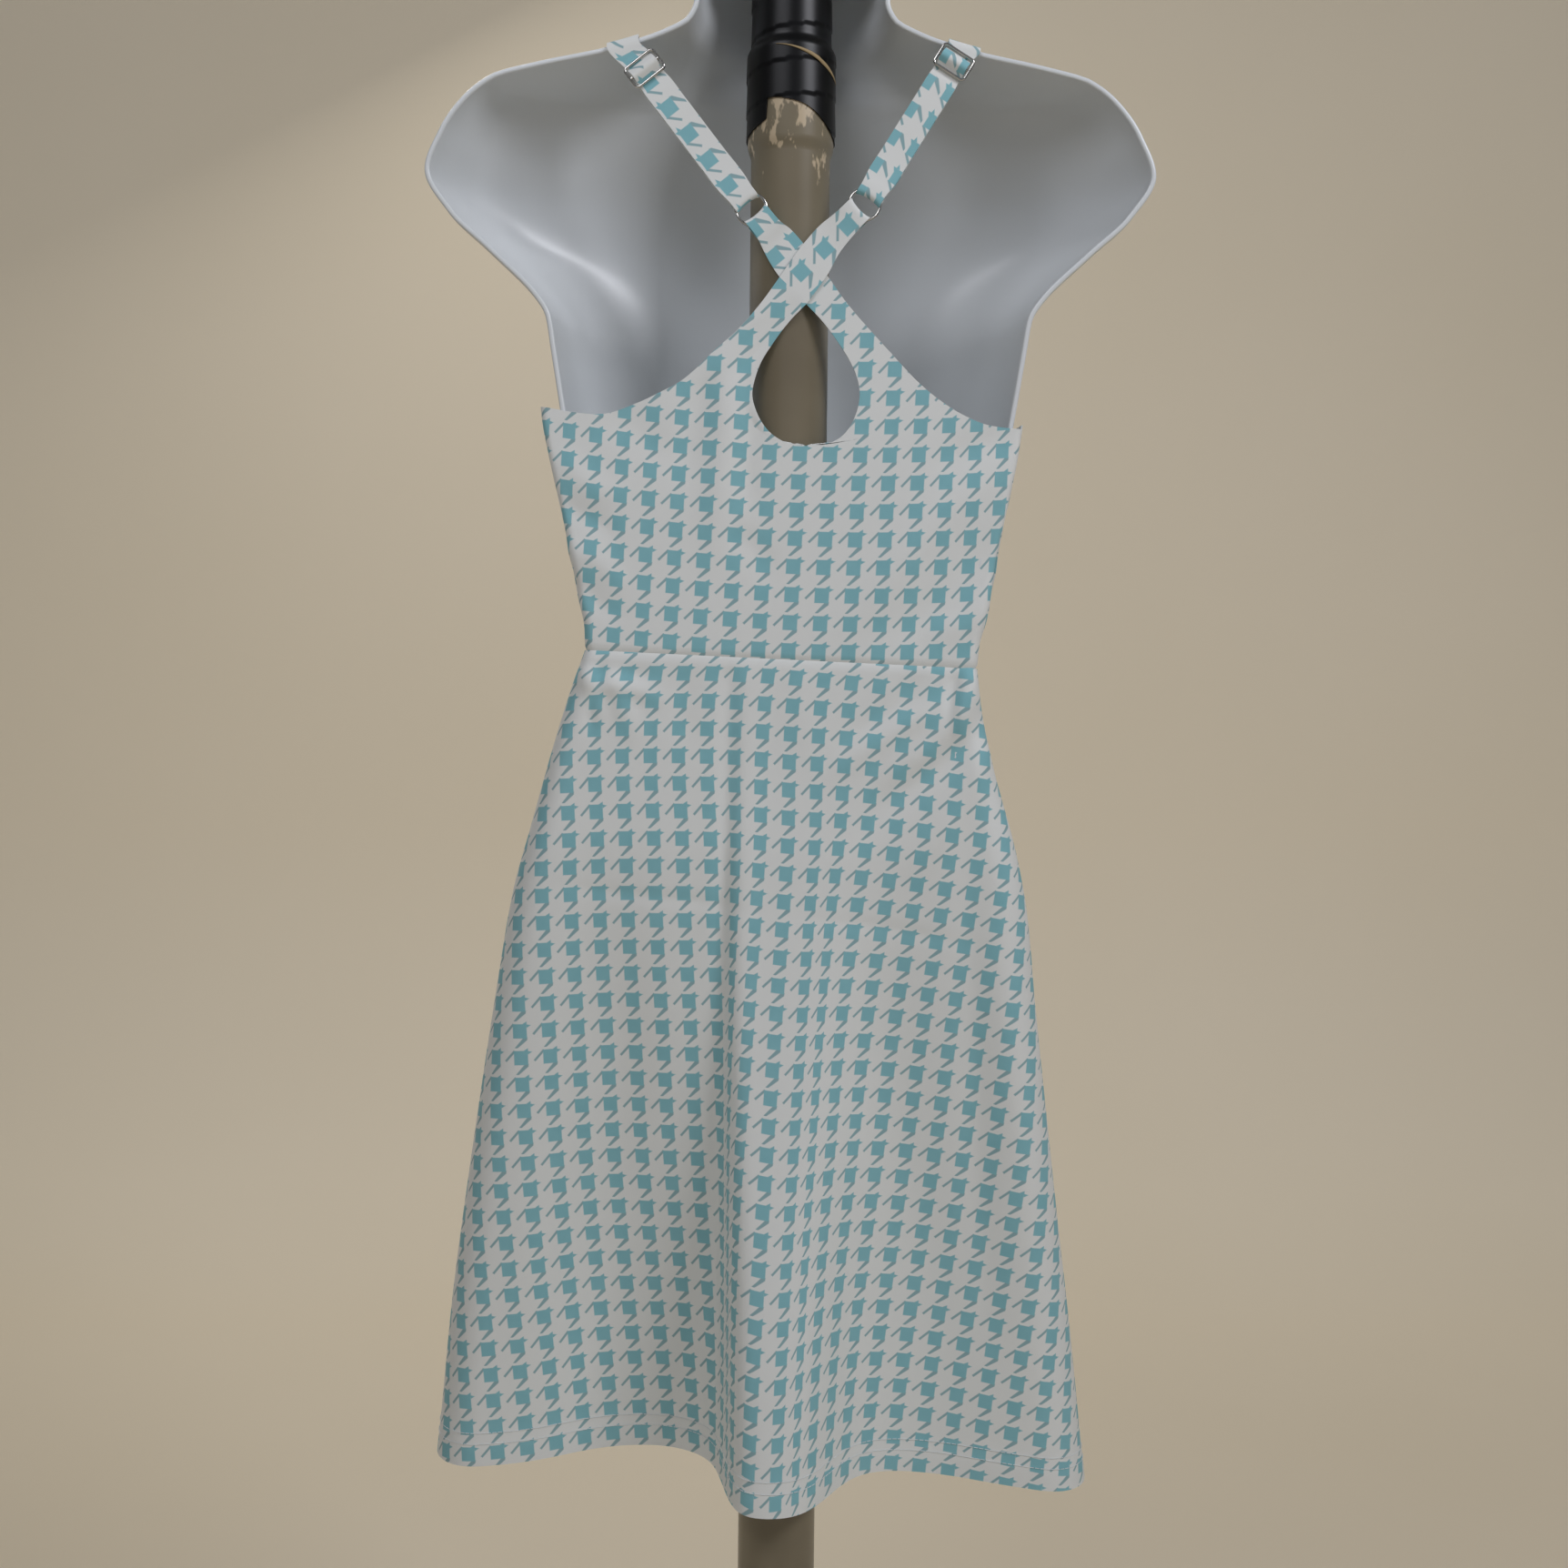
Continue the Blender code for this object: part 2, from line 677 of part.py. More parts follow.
def crest_rows(crest, side, columns):
    """Rows over the form's rim, along the shoulder and down the chest to the front panel's strap corner."""
    rise_step = 5.0
    slope = (rim_rise(abs(crest[0]) - rise_step) - rim_rise(abs(crest[0]) + rise_step)) / (2 * rise_step)
    rim_way = np.array([1.0, slope * (-side)])
    rim_way = rim_way / np.hypot(*rim_way)
    half = STRAP_WIDTH / 2 * 1.09
    rows = []
    for turn, radius in ((180, 2.4), (150, 2.4), (120, 2.4), (90, 2.4)):
        y = 1.0 + radius * math.cos(math.radians(turn))
        lift = -1.0 + radius * math.sin(math.radians(turn))
        row = []
        for share in np.linspace(-1, 1, columns):
            x = crest[0] + rim_way[0] * half * share
            row.append(place(x, y, rim_rise(x) + lift))
        rows.append(row)
    gap = 2.0
    for depth, centre_x in ((9, 95.5), (18, 97), (28, 98), (38, 98.5), (47, 98)):
        row = []
        for share in np.linspace(-1, 1, columns):
            x = side * centre_x + STRAP_WIDTH / 2 * 1.02 * share
            rise = top_rise(x, depth)
            slope_here = (top_rise(x, depth - 2) - top_rise(x, depth + 2)) / 4
            steep = math.hypot(1, slope_here)
            row.append(place(x, depth + gap * slope_here / steep, rise + gap / steep))
        rows.append(row)
    start_rise = top_rise(side * 98, 53)
    for part in np.linspace(0, 1, 7):
        rise = start_rise + (255.7 - start_rise) * part
        centre_x = 97.3 - 12.3 * ease_between(part, 0, 1)
        row = []
        for share in np.linspace(-1, 1, columns):
            x = side * centre_x + STRAP_WIDTH / 2 * share
            slope_here = (form_depth(x, rise - 2) - form_depth(x, rise + 2)) / 4
            steep = math.hypot(1, slope_here)
            near = (x, form_depth(x, rise) + gap / steep, rise + gap * slope_here / steep)
            far_x, far_y = front_point(front_angle(x, rise), rise)
            blend = ease_between(part, 0.3, 1)
            row.append(place(x, near[1] * (1 - blend) + far_y * blend, near[2] * (1 - blend) + rise * blend))
        rows.append(row)
    return rows


def ring(name, centre):
    bpy.ops.mesh.primitive_torus_add(
        major_radius=RING_RADIUS * MM,
        minor_radius=WIRE_RADIUS * MM,
        major_segments=20,
        minor_segments=6,
        location=place(centre[0], RING_Y, centre[1]),
        rotation=(math.pi / 2, 0, 0),
    )
    made = bpy.context.object
    adopt(made, name, metal)


def adopt(obj, name, made_of):
    for holder in list(obj.users_collection):
        holder.objects.unlink(obj)
    parts.objects.link(obj)
    obj.name = name
    obj.data.name = name
    obj.data.materials.clear()
    obj.data.materials.append(made_of)


def slider(name, ring_centre, from_crest, side):
    """A wire frame with a bar across its middle, lying across the strap."""
    crest = strap_crest(side)
    up = ring_frame(ring_centre, crest)[0]
    centre = crest - up * from_crest
    angle = math.atan2(-up[0], up[1])
    curve = bpy.data.curves.new(name, "CURVE")
    curve.dimensions = "3D"
    curve.bevel_depth = WIRE_RADIUS * MM
    curve.bevel_resolution = 1
    corners = []
    for x_sign, z_sign, first in ((1, 1, 0), (-1, 1, 90), (-1, -1, 180), (1, -1, 270)):
        for turn in (0, 45, 90):
            at = math.radians(first + turn)
            x = x_sign * (SLIDER_HALF_WIDTH - SLIDER_CORNER) + SLIDER_CORNER * math.cos(at)
            z = z_sign * (SLIDER_HALF_LENGTH - SLIDER_CORNER) + SLIDER_CORNER * math.sin(at)
            corners.append((x, z))
    spline = curve.splines.new("POLY")
    spline.points.add(len(corners) - 1)
    for point, (x, z) in zip(spline.points, corners):
        point.co = (x * MM, 0, z * MM, 1)
    spline.use_cyclic_u = True
    frame = add_object(name + "_wire", curve, metal)
    bpy.context.view_layer.update()
    graph = bpy.context.evaluated_depsgraph_get()
    made = bpy.data.meshes.new_from_object(frame.evaluated_get(graph))
    bpy.data.objects.remove(frame)
    obj = add_object(name, made, metal)
    bpy.ops.mesh.primitive_cylinder_add(
        vertices=6, radius=WIRE_RADIUS * MM, depth=2 * SLIDER_HALF_WIDTH * MM, rotation=(0, math.pi / 2, 0)
    )
    bar = bpy.context.object
    adopt(bar, name + "_bar", metal)
    parts.objects.unlink(bar)
    cutters.objects.link(bar)
    bar.hide_render = True
    bar.display_type = "WIRE"
    for each in (obj, bar):
        each.location = place(centre[0], SLIDER_Y, centre[1])
    obj.rotation_euler = (0, -angle, 0)
    bar.rotation_euler = (0, math.pi / 2 - angle, 0)
    union = obj.modifiers.new("Bar", "BOOLEAN")
    union.operation = "UNION"
    union.object = bar


for old in list(bpy.data.objects):
    bpy.data.objects.remove(old)
parts = bpy.data.collections.new("tennis_dress")
cutters = bpy.data.collections.new("joined_shapes")
for each in (parts, cutters):
    bpy.context.scene.collection.children.link(each)

knit = material("printed_jersey_knit", (0.62, 0.78, 0.80), 0.85)
metal = material("nickel_plated_wire", (0.72, 0.71, 0.69), 0.28, 1.0)
plastic = material("moulded_white_plastic", (0.80, 0.81, 0.82), 0.35)
pipe = material("painted_pipe", (0.19, 0.16, 0.12), 0.5)
tape = material("wound_black_tape", (0.015, 0.015, 0.016), 0.4)
painted_steel = material("painted_steel_plate", (0.12, 0.11, 0.10), 0.5)

SLIDER_FROM_CREST = {-1: 20.0, 1: 11.5}

form_shell()
neck_cap()
stand()
bodice_back()
bodice_front()
skirt_panel("skirt_back", skirt_back_line, 42, True)
skirt_panel("skirt_front", skirt_front_line, 32, False)
for side_name, side, ring_centre in (("left", -1, LEFT_RING), ("right", 1, RIGHT_RING)):
    ring(f"ring_{side_name}", ring_centre)
    shoulder_strap(f"strap_{side_name}", ring_centre, SLIDER_FROM_CREST[side], side)
    slider(f"slider_{side_name}", ring_centre, SLIDER_FROM_CREST[side], side)
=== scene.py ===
"""A tennis dress in a white and aqua houndstooth knit, on a hollow-backed form and its pole stand.

It is seen from behind. Blender units are metres, +Z up, and the wearer faces +Y. Tables are in millimetres:
a rise is a height above the waist seam, a drop is a depth below it, and a depth is measured forwards from the
plane of the form's open rim.
"""

import math

import bmesh
import bpy
import numpy as np
from mathutils import Euler, Matrix, Vector


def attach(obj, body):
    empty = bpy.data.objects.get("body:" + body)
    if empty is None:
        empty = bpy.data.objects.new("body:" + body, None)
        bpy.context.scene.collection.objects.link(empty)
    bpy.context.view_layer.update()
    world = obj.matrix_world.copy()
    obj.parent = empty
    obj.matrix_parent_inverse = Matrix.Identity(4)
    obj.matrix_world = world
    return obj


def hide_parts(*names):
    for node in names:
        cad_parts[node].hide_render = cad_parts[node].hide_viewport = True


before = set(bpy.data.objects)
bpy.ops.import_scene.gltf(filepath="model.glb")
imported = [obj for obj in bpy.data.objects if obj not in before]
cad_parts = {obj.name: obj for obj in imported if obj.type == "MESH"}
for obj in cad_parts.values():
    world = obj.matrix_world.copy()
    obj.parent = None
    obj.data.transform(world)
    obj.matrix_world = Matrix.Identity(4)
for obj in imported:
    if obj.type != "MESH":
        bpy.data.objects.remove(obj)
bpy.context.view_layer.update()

MM = 0.001
WAIST_Z = 1.048
RIM_Y = -0.0225
CLOTH = 0.0009
BACK_MID = -1.0
HANG_SLOPE = 0.037
LEVEL_FROM, LEVEL_AT = 135.0, 245.0
STRAP_WIDTH = 16.6
STRAP_AT_RING = 15.0
RING_RADIUS = 8.6
WIRE_RADIUS = 0.8
RING_Y = -2.85
LOOP_STRAIGHT, LOOP_END, LOOP_HALF_DEPTH, LOOP_BEND = 2.7, 1.5, 1.7, 0.3
SLIDER_Y = -3.6
SLIDER_HALF_WIDTH, SLIDER_HALF_LENGTH, SLIDER_CORNER = 9.7, 6.2, 2.0
BAR_CLEAR = 1.8
HEM_DROP = 472.0
PRINT_ACROSS, PRINT_DOWN = 16.35, 15.9


def table(names, *rows):
    return {name: np.array(column, float) for name, column in zip(names.split(), zip(*rows))}


FORM = table(
    "rise half depth power bust",
    (-80, 97.5, 109, 2.3, 0),
    (-50, 98.5, 104, 2.3, 0),
    (0, 101, 97, 2.3, 0),
    (40, 107.5, 102, 2.3, 9),
    (75, 115, 108, 2.3, 19),
    (105, 121.5, 112, 2.3, 23),
    (137, 127.3, 114, 2.3, 11),
    (172, 133, 111, 2.3, 3),
    (190, 136, 109, 2.25, 0),
    (200, 142, 107, 2.2, 0),
    (226, 168.5, 103, 2.1, 0),
    (246, 190, 98, 2.1, 0),
    (270, 203.6, 91, 2, 0),
    (292, 195.5, 82, 2, 0),
    (307, 185.4, 75, 2, 0),
    (322.5, 166.3, 68, 2, 0),
    (330, 138.5, 65, 2, 0),
    (337, 105, 66, 2, 0),
    (342.5, 85.4, 68, 2, 0),
    (347.5, 71.7, 70, 2, 0),
    (355, 58.2, 72, 2, 0),
    (364, 54.3, 73, 2, 0),
    (396, 54, 76, 2, 0),
)
BODICE = table(
    "rise left right corner ease",
    (0, -112.9, 108.2, 6, 2.2),
    (12, -113.2, 109, 5, 2.2),
    (28, -116.5, 112.9, 5, 2.2),
    (59, -122.4, 117.8, 4, 2.8),
    (94, -130.2, 123.9, 3, 4.4),
    (137, -138.1, 131.4, 2.8, 5),
    (160, -138.5, 135, 2.8, 4.8),
    (190, -141, 141, 2, 2.8),
    (226, -174, 174, 1, 2.2),
    (260, -204, 204, 1, 2.2),
)
SKIRT = table(
    "drop left right corner depth back",
    (0, -112.9, 108.2, 6, 99.2, -1),
    (20, -120.5, 111, 10, 106, -1),
    (53, -131, 118.5, 13, 117, -1),
    (103, -145.5, 133.5, 18, 131, -1),
    (138, -155.5, 141, 20, 139, 0.5),
    (193, -165.5, 147.5, 22, 149, 3.5),
    (308, -184, 163, 25, 169, 10),
    (378, -194, 173, 27, 180, 13),
    (473, -204, 185, 30, 194, 16),
)
BACK_FOLDS = table(
    "flank_from softness_from flank_to softness_to depth start",
    (-30, 4, 29, 9, -56, 45),
    (-124, 16, -44, 11, 27, 100),
    (50, 12, 118, 14, 9, 90),
)
FRONT_FOLDS = table(
    "flank_from softness_from flank_to softness_to depth start",
    (-150, 12, -112, 9, 13, 120),
    (-84, 10, -38, 9, -15, 70),
    (-26, 9, 30, 10, 14, 60),
    (44, 9, 86, 10, -14, 80),
    (106, 9, 148, 12, 12, 110),
)
BACK_LEFT = table(
    "outer outer_rise inner inner_rise y",
    (-131, 133.4, 9.6, 101, -1),
    (-118, 131.8, 10, 108, -1),
    (-102.5, 132, 10.2, 114, -1),
    (-85.5, 138.3, 10.4, 119.3, -1),
    (-71.5, 145.4, -2, 121.2, -1),
    (-60, 152.2, -11.7, 127.8, -1),
    (-51.5, 159.6, -17.9, 138, -1),
    (-45.5, 165.8, -20, 147, -1),
    (-40.5, 171, -18.1, 157.1, -1),
    (-35, 175.8, -14.6, 166, -1),
    (-29.4, 181.1, -8.6, 175.6, -1.1),
    (-16.4, 196.2, 1, 188.4, -1.8),
    (-5.4, 211.6, 9.8, 197.4, -2.6),
)
BACK_RIGHT = table(
    "outer outer_rise inner inner_rise y",
    (128.2, 134.5, 9.6, 101, -1),
    (119, 135, 10, 108, -1),
    (109.5, 136.4, 10.2, 114, -1),
    (99.5, 140, 10.4, 119.3, -1),
    (85, 148, 21.5, 120.9, -1),
    (73, 157, 31.5, 127, -1),
    (65, 164.5, 37.5, 137, -1),
    (59, 170.5, 40, 149, -1),
    (52, 177.5, 38, 159.5, -1),
    (45.5, 184.2, 33.5, 168.5, -1),
    (39, 191, 27, 178, -1),
    (31.5, 199.5, 19.5, 187.5, -1),
    (22.4, 211.6, 9.8, 197.4, -1),
)
LEFT_END = table(
    "outer outer_rise inner inner_rise y",
    (7.6, 230, 21.5, 214, -2.6),
    (17, 240.5, 28.5, 226.5, -2.6),
)
RIGHT_END = table(
    "outer outer_rise inner inner_rise y",
    (8.2, 230, -5.4, 212, -1),
    (-0.5, 239, -13.5, 224.5, -1.6),
)
FRONT_EDGE = table(
    "outer outer_rise inner inner_rise",
    (130, 138.5, 0, 113),
    (124, 143.5, 0, 130),
    (117, 151.5, 0, 147),
    (110.5, 163, 0, 165),
    (106, 176, 0, 183),
    (102.5, 190, 22, 184.5),
    (99.5, 205, 42, 191),
    (96, 229, 58, 206),
    (94.2, 243, 68.5, 228),
    (93.3, 255, 76.7, 255),
)
LEFT_RING = (-21.5, 248.7)
RIGHT_RING = (41.4, 251.8)
CREST_X = {-1: 93.5, 1: 95.7}
SLIDER_FROM_CREST = {-1: 20.0, 1: 11.5}
# Soft creases of the cloth: the line that each follows, how far it reaches to either side, and its height
BACK_CREASES = table(
    "x rise to_x to_rise width height",
    (-36, 156, -38, 60, 9, 1.9),
    (-22, 136, -21, 84, 7, -1.3),
    (-46, 150, -62, 96, 8, -1.3),
    (-26, 70, -8, 44, 8, -0.9),
    (-100, 128, -60, 112, 12, -1.0),
    (-128, 104, -94, 84, 8, 1.3),
    (-126, 84, -96, 62, 6, -1.1),
    (-124, 58, -90, 38, 7, 1.2),
    (-122, 38, -92, 20, 6, -1.0),
    (118, 112, 36, 24, 11, 2.0),
    (120, 68, 58, 14, 11, -1.6),
    (112, 36, 84, 14, 7, 1.1),
    (118, 132, 84, 108, 8, -1.0),
    (-12, 196, -44, 158, 5, 0.9),
    (2, 193, -26, 160, 3.5, -0.8),
)
SKIRT_CREASES = table(
    "x rise to_x to_rise width height",
    (-113, -5, -104, -34, 5, 2.4),
    (-104, -4, -110, -40, 3.5, -2.0),
    (-97, -6, -86, -46, 6, 1.5),
    (-110, -14, -70, -22, 4.5, 1.7),
    (-108, -4, -72, -9, 3.5, -1.1),
    (104, -6, 98, -44, 5, 2.2),
    (98, -5, 90, -34, 4, -1.8),
    (108, -18, 62, -70, 8, 2.5),
    (104, -38, 44, -100, 10, -2.1),
    (88, -26, 26, -62, 7, 1.7),
    (116, -50, 78, -114, 9, 2.0),
    (74, -12, 38, -48, 7, -1.4),
    (-33, -26, -36, -440, 5.5, -2.4),
    (-22, -40, -23, -410, 8, 1.7),
    (-66, -120, -74, -400, 22, 2.1),
    (-96, -180, -112, -440, 20, -2.1),
    (-132, -120, -152, -400, 14, 2.0),
    (66, -170, 84, -430, 22, -2.0),
    (118, -140, 146, -400, 16, 2.3),
    (102, -110, 122, -380, 10, -1.7),
    (36, -150, 34, -330, 16, 1.4),
    (-114, -130, -20, -142, 3.5, -0.7),
    (16, -146, 110, -160, 3.5, -0.6),
    (-60, -6, -52, -50, 9, -0.8),
    (10, -4, 12, -60, 10, 0.6),
)


def smooth(rows, name, at):
    """Reads a smooth curve through the table's points, one that never overshoots them."""
    places, values = next(iter(rows.values())), rows[name]
    return smooth_line(places, values, at)


def smooth_line(places, values, at):
    at = np.clip(np.asarray(at, float), places[0], places[-1])
    first = np.clip(np.searchsorted(places, at, side="right") - 1, 0, len(places) - 2)
    steps = np.diff(places)
    slopes = np.diff(values) / steps
    before, after = slopes[:-1], slopes[1:]
    total = np.where(before + after == 0, 1, before + after)
    inner = np.where(before * after > 0, 2 * before * after / total, 0)
    tangents = np.concatenate([slopes[:1], inner, slopes[-1:]])
    step = steps[first]
    t = (at - places[first]) / step
    start = (1 + 2 * t) * (1 - t) ** 2 * values[first] + t * (1 - t) ** 2 * step * tangents[first]
    return start + t * t * (3 - 2 * t) * values[first + 1] - t * t * (1 - t) * step * tangents[first + 1]


def ease_between(value, low, high):
    t = np.clip((np.asarray(value, float) - low) / (high - low), 0, 1)
    return t * t * (3 - 2 * t)


def signed_power(value, power):
    return np.sign(value) * np.abs(value) ** power


def place(x, y, rise):
    x, y, rise = np.broadcast_arrays(x, y, rise)
    return np.stack([x * MM, RIM_Y + y * MM, WAIST_Z + rise * MM], axis=-1)


def hang(x, y, rise):
    """The dress hangs a little lower on its right side than on its left."""
    level = ease_between(rise, LEVEL_FROM, LEVEL_AT)
    return place(x, y, rise - HANG_SLOPE * (1 - level) * x)


def bust_mound(x, bridged):
    away = np.abs(x) - 58.0
    if bridged:
        away = np.maximum(away, 0)
    return np.exp(-((away / 34.0) ** 2))


def form_point(angle, rise):
    half, depth, power, bust = (smooth(FORM, name, rise) for name in ("half", "depth", "power", "bust"))
    x = -half * signed_power(np.cos(angle), 2 / power)
    return x, (depth + bust * bust_mound(x, False)) * np.abs(np.sin(angle)) ** (2 / power)


def form_depth(x, rise):
    half, power = smooth(FORM, "half", rise), smooth(FORM, "power", rise)
    across = np.minimum(np.abs(x) / half, 1.0)
    bust = smooth(FORM, "bust", rise) * bust_mound(x, False)
    return (smooth(FORM, "depth", rise) + bust) * (1 - across**power) ** (1 / power)


def solve_rise(test, low, high):
    """The height where the test, true below it, turns false."""
    low, high = np.asarray(low, float) + np.zeros_like(high), np.asarray(high, float)
    for _ in range(30):
        middle = (low + high) / 2
        below = test(middle)
        low, high = np.where(below, middle, low), np.where(below, high, middle)
    return low


def rim_rise(x):
    x = np.asarray(x, float)
    return solve_rise(lambda rise: smooth(FORM, "half", rise) > np.abs(x), 322.5, np.full_like(x, 364.0))


def top_rise(x, depth):
    return solve_rise(lambda rise: form_depth(x, rise) > depth, 270.0, rim_rise(x))


def front_angle(x, rise):
    left, right = smooth(BODICE, "left", rise), smooth(BODICE, "right", rise)
    power = smooth(FORM, "power", rise)
    across = np.clip((x - (left + right) / 2) / ((right - left) / 2), -1, 1)
    return np.arccos(-signed_power(across, power / 2))


def front_point(angle, rise):
    left, right, corner, ease = (smooth(BODICE, name, rise) for name in ("left", "right", "corner", "ease"))
    depth, power, bust = (smooth(FORM, name, rise) for name in ("depth", "power", "bust"))
    start = BACK_MID + corner
    x = (left + right) / 2 - (right - left) / 2 * signed_power(np.cos(angle), 2 / power)
    forward = np.abs(np.sin(angle)) ** (2 / power)
    return x, start + (depth + ease - start + bust * bust_mound(x, True)) * forward


def wrap_corner(flat, left, right, corner, y):
    side = np.where(flat > 0, right, -left)
    past = np.maximum(np.abs(flat) - (side - corner), 0)
    turn = np.minimum(past / corner, math.pi / 2)
    x = np.where(past > 0, np.sign(flat) * (side - corner + corner * np.sin(turn)), flat)
    return x, y + corner * (1 - np.cos(turn))


def back_point(flat, rise, y):
    return wrap_corner(flat, *(smooth(BODICE, name, rise) for name in ("left", "right", "corner")), y)


def seam_flat(rise, sign):
    corner = smooth(BODICE, "corner", rise)
    side = smooth(BODICE, "right", rise) if sign > 0 else -smooth(BODICE, "left", rise)
    return sign * (side - corner + corner * math.pi / 2)


def fold(folds, x, drop):
    total = 0.0
    for start_at, soft_start, end_at, soft_end, depth, start in zip(*folds.values()):
        grown = ease_between(drop, start, HEM_DROP + 90)
        into = 1 / (1 + np.exp(-(x - start_at) / soft_start))
        out_of = 1 / (1 + np.exp((x - end_at) / soft_end))
        total = total + depth * grown * into * out_of
    return total


def skirt_line(drop, back):
    """The skirt's outline at one height, from its left side seam to its right."""
    columns = ("left", "right", "corner", "depth", "back")
    left, right, corner, depth, behind = (smooth(SKIRT, name, drop) for name in columns)
    if back:
        flat = np.linspace(left + corner - corner * math.pi / 2, right - corner + corner * math.pi / 2, 500)
        x, y = wrap_corner(flat, left, right, corner, behind)
        return x, y + fold(BACK_FOLDS, x, drop) * ease_between(np.minimum(x - left, right - x), 0, 30)
    power = smooth(FORM, "power", -drop)
    angle = np.linspace(0, math.pi, 500)
    x = (left + right) / 2 - (right - left) / 2 * signed_power(np.cos(angle), 2 / power)
    start = behind + corner
    return x, start + (depth - start - fold(FRONT_FOLDS, x, drop)) * np.sin(angle) ** (2 / power)


def hem_drop(x, back):
    drop = HEM_DROP + 9 * (np.abs(x) / 195) ** 2
    if back:
        drop = drop + 5 * fold(BACK_FOLDS, x, HEM_DROP) / -56
    return drop


def through(points, count):
    """More rows between the rows of a grid, on a smooth curve through them."""
    points = np.asarray(points, float)
    steps = np.linalg.norm(np.diff(points, axis=0), axis=-1)
    places = np.concatenate([[0], np.cumsum(steps.reshape(len(steps), -1).mean(axis=1))])
    wanted = np.linspace(0, places[-1], count)
    index = np.clip(np.searchsorted(places, wanted, side="right") - 1, 0, len(places) - 2)
    ends = np.concatenate([[2 * points[0] - points[1]], points, [2 * points[-1] - points[-2]]])
    spans = np.diff(places)
    spans = np.concatenate([[spans[0]], spans, [spans[-1]]])
    made = []
    for i, at in zip(index, wanted):
        t = (at - places[i]) / spans[i + 1]
        p0, p1, p2, p3 = ends[i], ends[i + 1], ends[i + 2], ends[i + 3]
        before, here, after = spans[i], spans[i + 1], spans[i + 2]
        m1 = ((p2 - p1) / here * before + (p1 - p0) / before * here) / (before + here) * here
        m2 = ((p3 - p2) / after * here + (p2 - p1) / here * after) / (here + after) * here
        first_half = (1 + 2 * t) * (1 - t) ** 2 * p1 + t * (1 - t) ** 2 * m1
        made.append(first_half + t * t * (3 - 2 * t) * p2 - t * t * (1 - t) * m2)
    return np.array(made)


def surface_normals(points):
    down = np.gradient(points, axis=0)
    along = np.gradient(points, axis=1)
    normal = np.cross(along, down)
    return normal / np.maximum(np.linalg.norm(normal, axis=-1, keepdims=True), 1e-12)


def crease_height(creases, x, rise):
    """How far the creases raise the cloth, in millimetres; each fades out softly at its ends."""
    total = np.zeros_like(x)
    for number, (x0, r0, x1, r1, width, height) in enumerate(zip(*creases.values())):
        run = np.array([x1 - x0, r1 - r0])
        length = np.hypot(*run)
        way = run / length
        along = (x - x0) * way[0] + (rise - r0) * way[1]
        wander = width * 0.25 * np.sin(along / length * 5 + number * 1.7)
        away = (x - x0) * way[1] - (rise - r0) * way[0] + wander
        coming = ease_between(along, -0.3 * length, 0.25 * length)
        going = 1 - ease_between(along, 0.6 * length, 1.25 * length)
        total = total + height * (coming * going) * np.exp(-((away / width) ** 2))
    return total


def raised(points, heights, outward):
    normal = surface_normals(points)
    turn = 1.0 if np.mean(normal @ np.array(outward)) > 0 else -1.0
    return points + turn * normal * np.asarray(heights)[..., None] * MM


def grid_faces(rows, columns, start=0):
    """The corner numbers of the quads of a grid of points."""
    numbers = start + np.arange(rows * columns).reshape(rows, columns)
    quads = np.stack([numbers[:-1, :-1], numbers[:-1, 1:], numbers[1:, 1:], numbers[1:, :-1]], axis=-1)
    return quads.reshape(-1, 4)


def add_object(name, data):
    made = bpy.data.objects.new(name, data)
    bpy.context.scene.collection.objects.link(made)
    return made


def round_edges(obj, width, angle):
    edge = obj.modifiers.new("Edge", "BEVEL")
    edge.width = width
    edge.segments = 3
    edge.limit_method = "ANGLE"
    edge.angle_limit = math.radians(angle)


def cloth_object(name, node, patches, made_of, weld=False, thickness=CLOTH):
    """A thin shell from patches of (points, print coordinates), standing for the CAD node."""
    vertices, faces, coordinates = [], [], []
    for points, fabric in patches:
        start = sum(len(block) for block in vertices)
        vertices.append(points.reshape(-1, 3))
        coordinates.append(np.asarray(fabric).reshape(-1, 2))
        faces.append(grid_faces(*points.shape[:2], start))
    vertices, faces, coordinates = (np.concatenate(block) for block in (vertices, faces, coordinates))
    mesh = bpy.data.meshes.new(name)
    mesh.from_pydata(vertices.tolist(), [], faces.tolist())
    layer = mesh.uv_layers.new(name="print")
    layer.data.foreach_set("uv", coordinates[faces.reshape(-1)].reshape(-1))
    mesh_edit = bmesh.new()
    mesh_edit.from_mesh(mesh)
    if weld:
        bmesh.ops.remove_doubles(mesh_edit, verts=mesh_edit.verts, dist=2e-5)
    bmesh.ops.recalc_face_normals(mesh_edit, faces=mesh_edit.faces)
    mesh_edit.to_mesh(mesh)
    mesh_edit.free()
    raw = add_object(name + "_surface", mesh)
    wall = raw.modifiers.new("Wall", "SOLIDIFY")
    wall.thickness = thickness
    wall.offset = 0
    wall.use_quality_normals = True
    solid = settle(raw, name, made_of, 50)
    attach(solid, "root")
    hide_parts(node)
    return solid


def settle(obj, name, made_of, sharp):
    """Applies an object's modifiers into a new mesh with smooth faces and sharp edges."""
    bpy.context.view_layer.update()
    graph = bpy.context.evaluated_depsgraph_get()
    mesh = bpy.data.meshes.new_from_object(obj.evaluated_get(graph))
    mesh.name = name
    made = add_object(name, mesh)
    made.matrix_world = obj.matrix_world
    bpy.data.objects.remove(obj)
    mesh.materials.clear()
    mesh.materials.append(made_of)
    mesh.shade_smooth()
    mesh.set_sharp_from_angle(angle=math.radians(sharp))
    return made


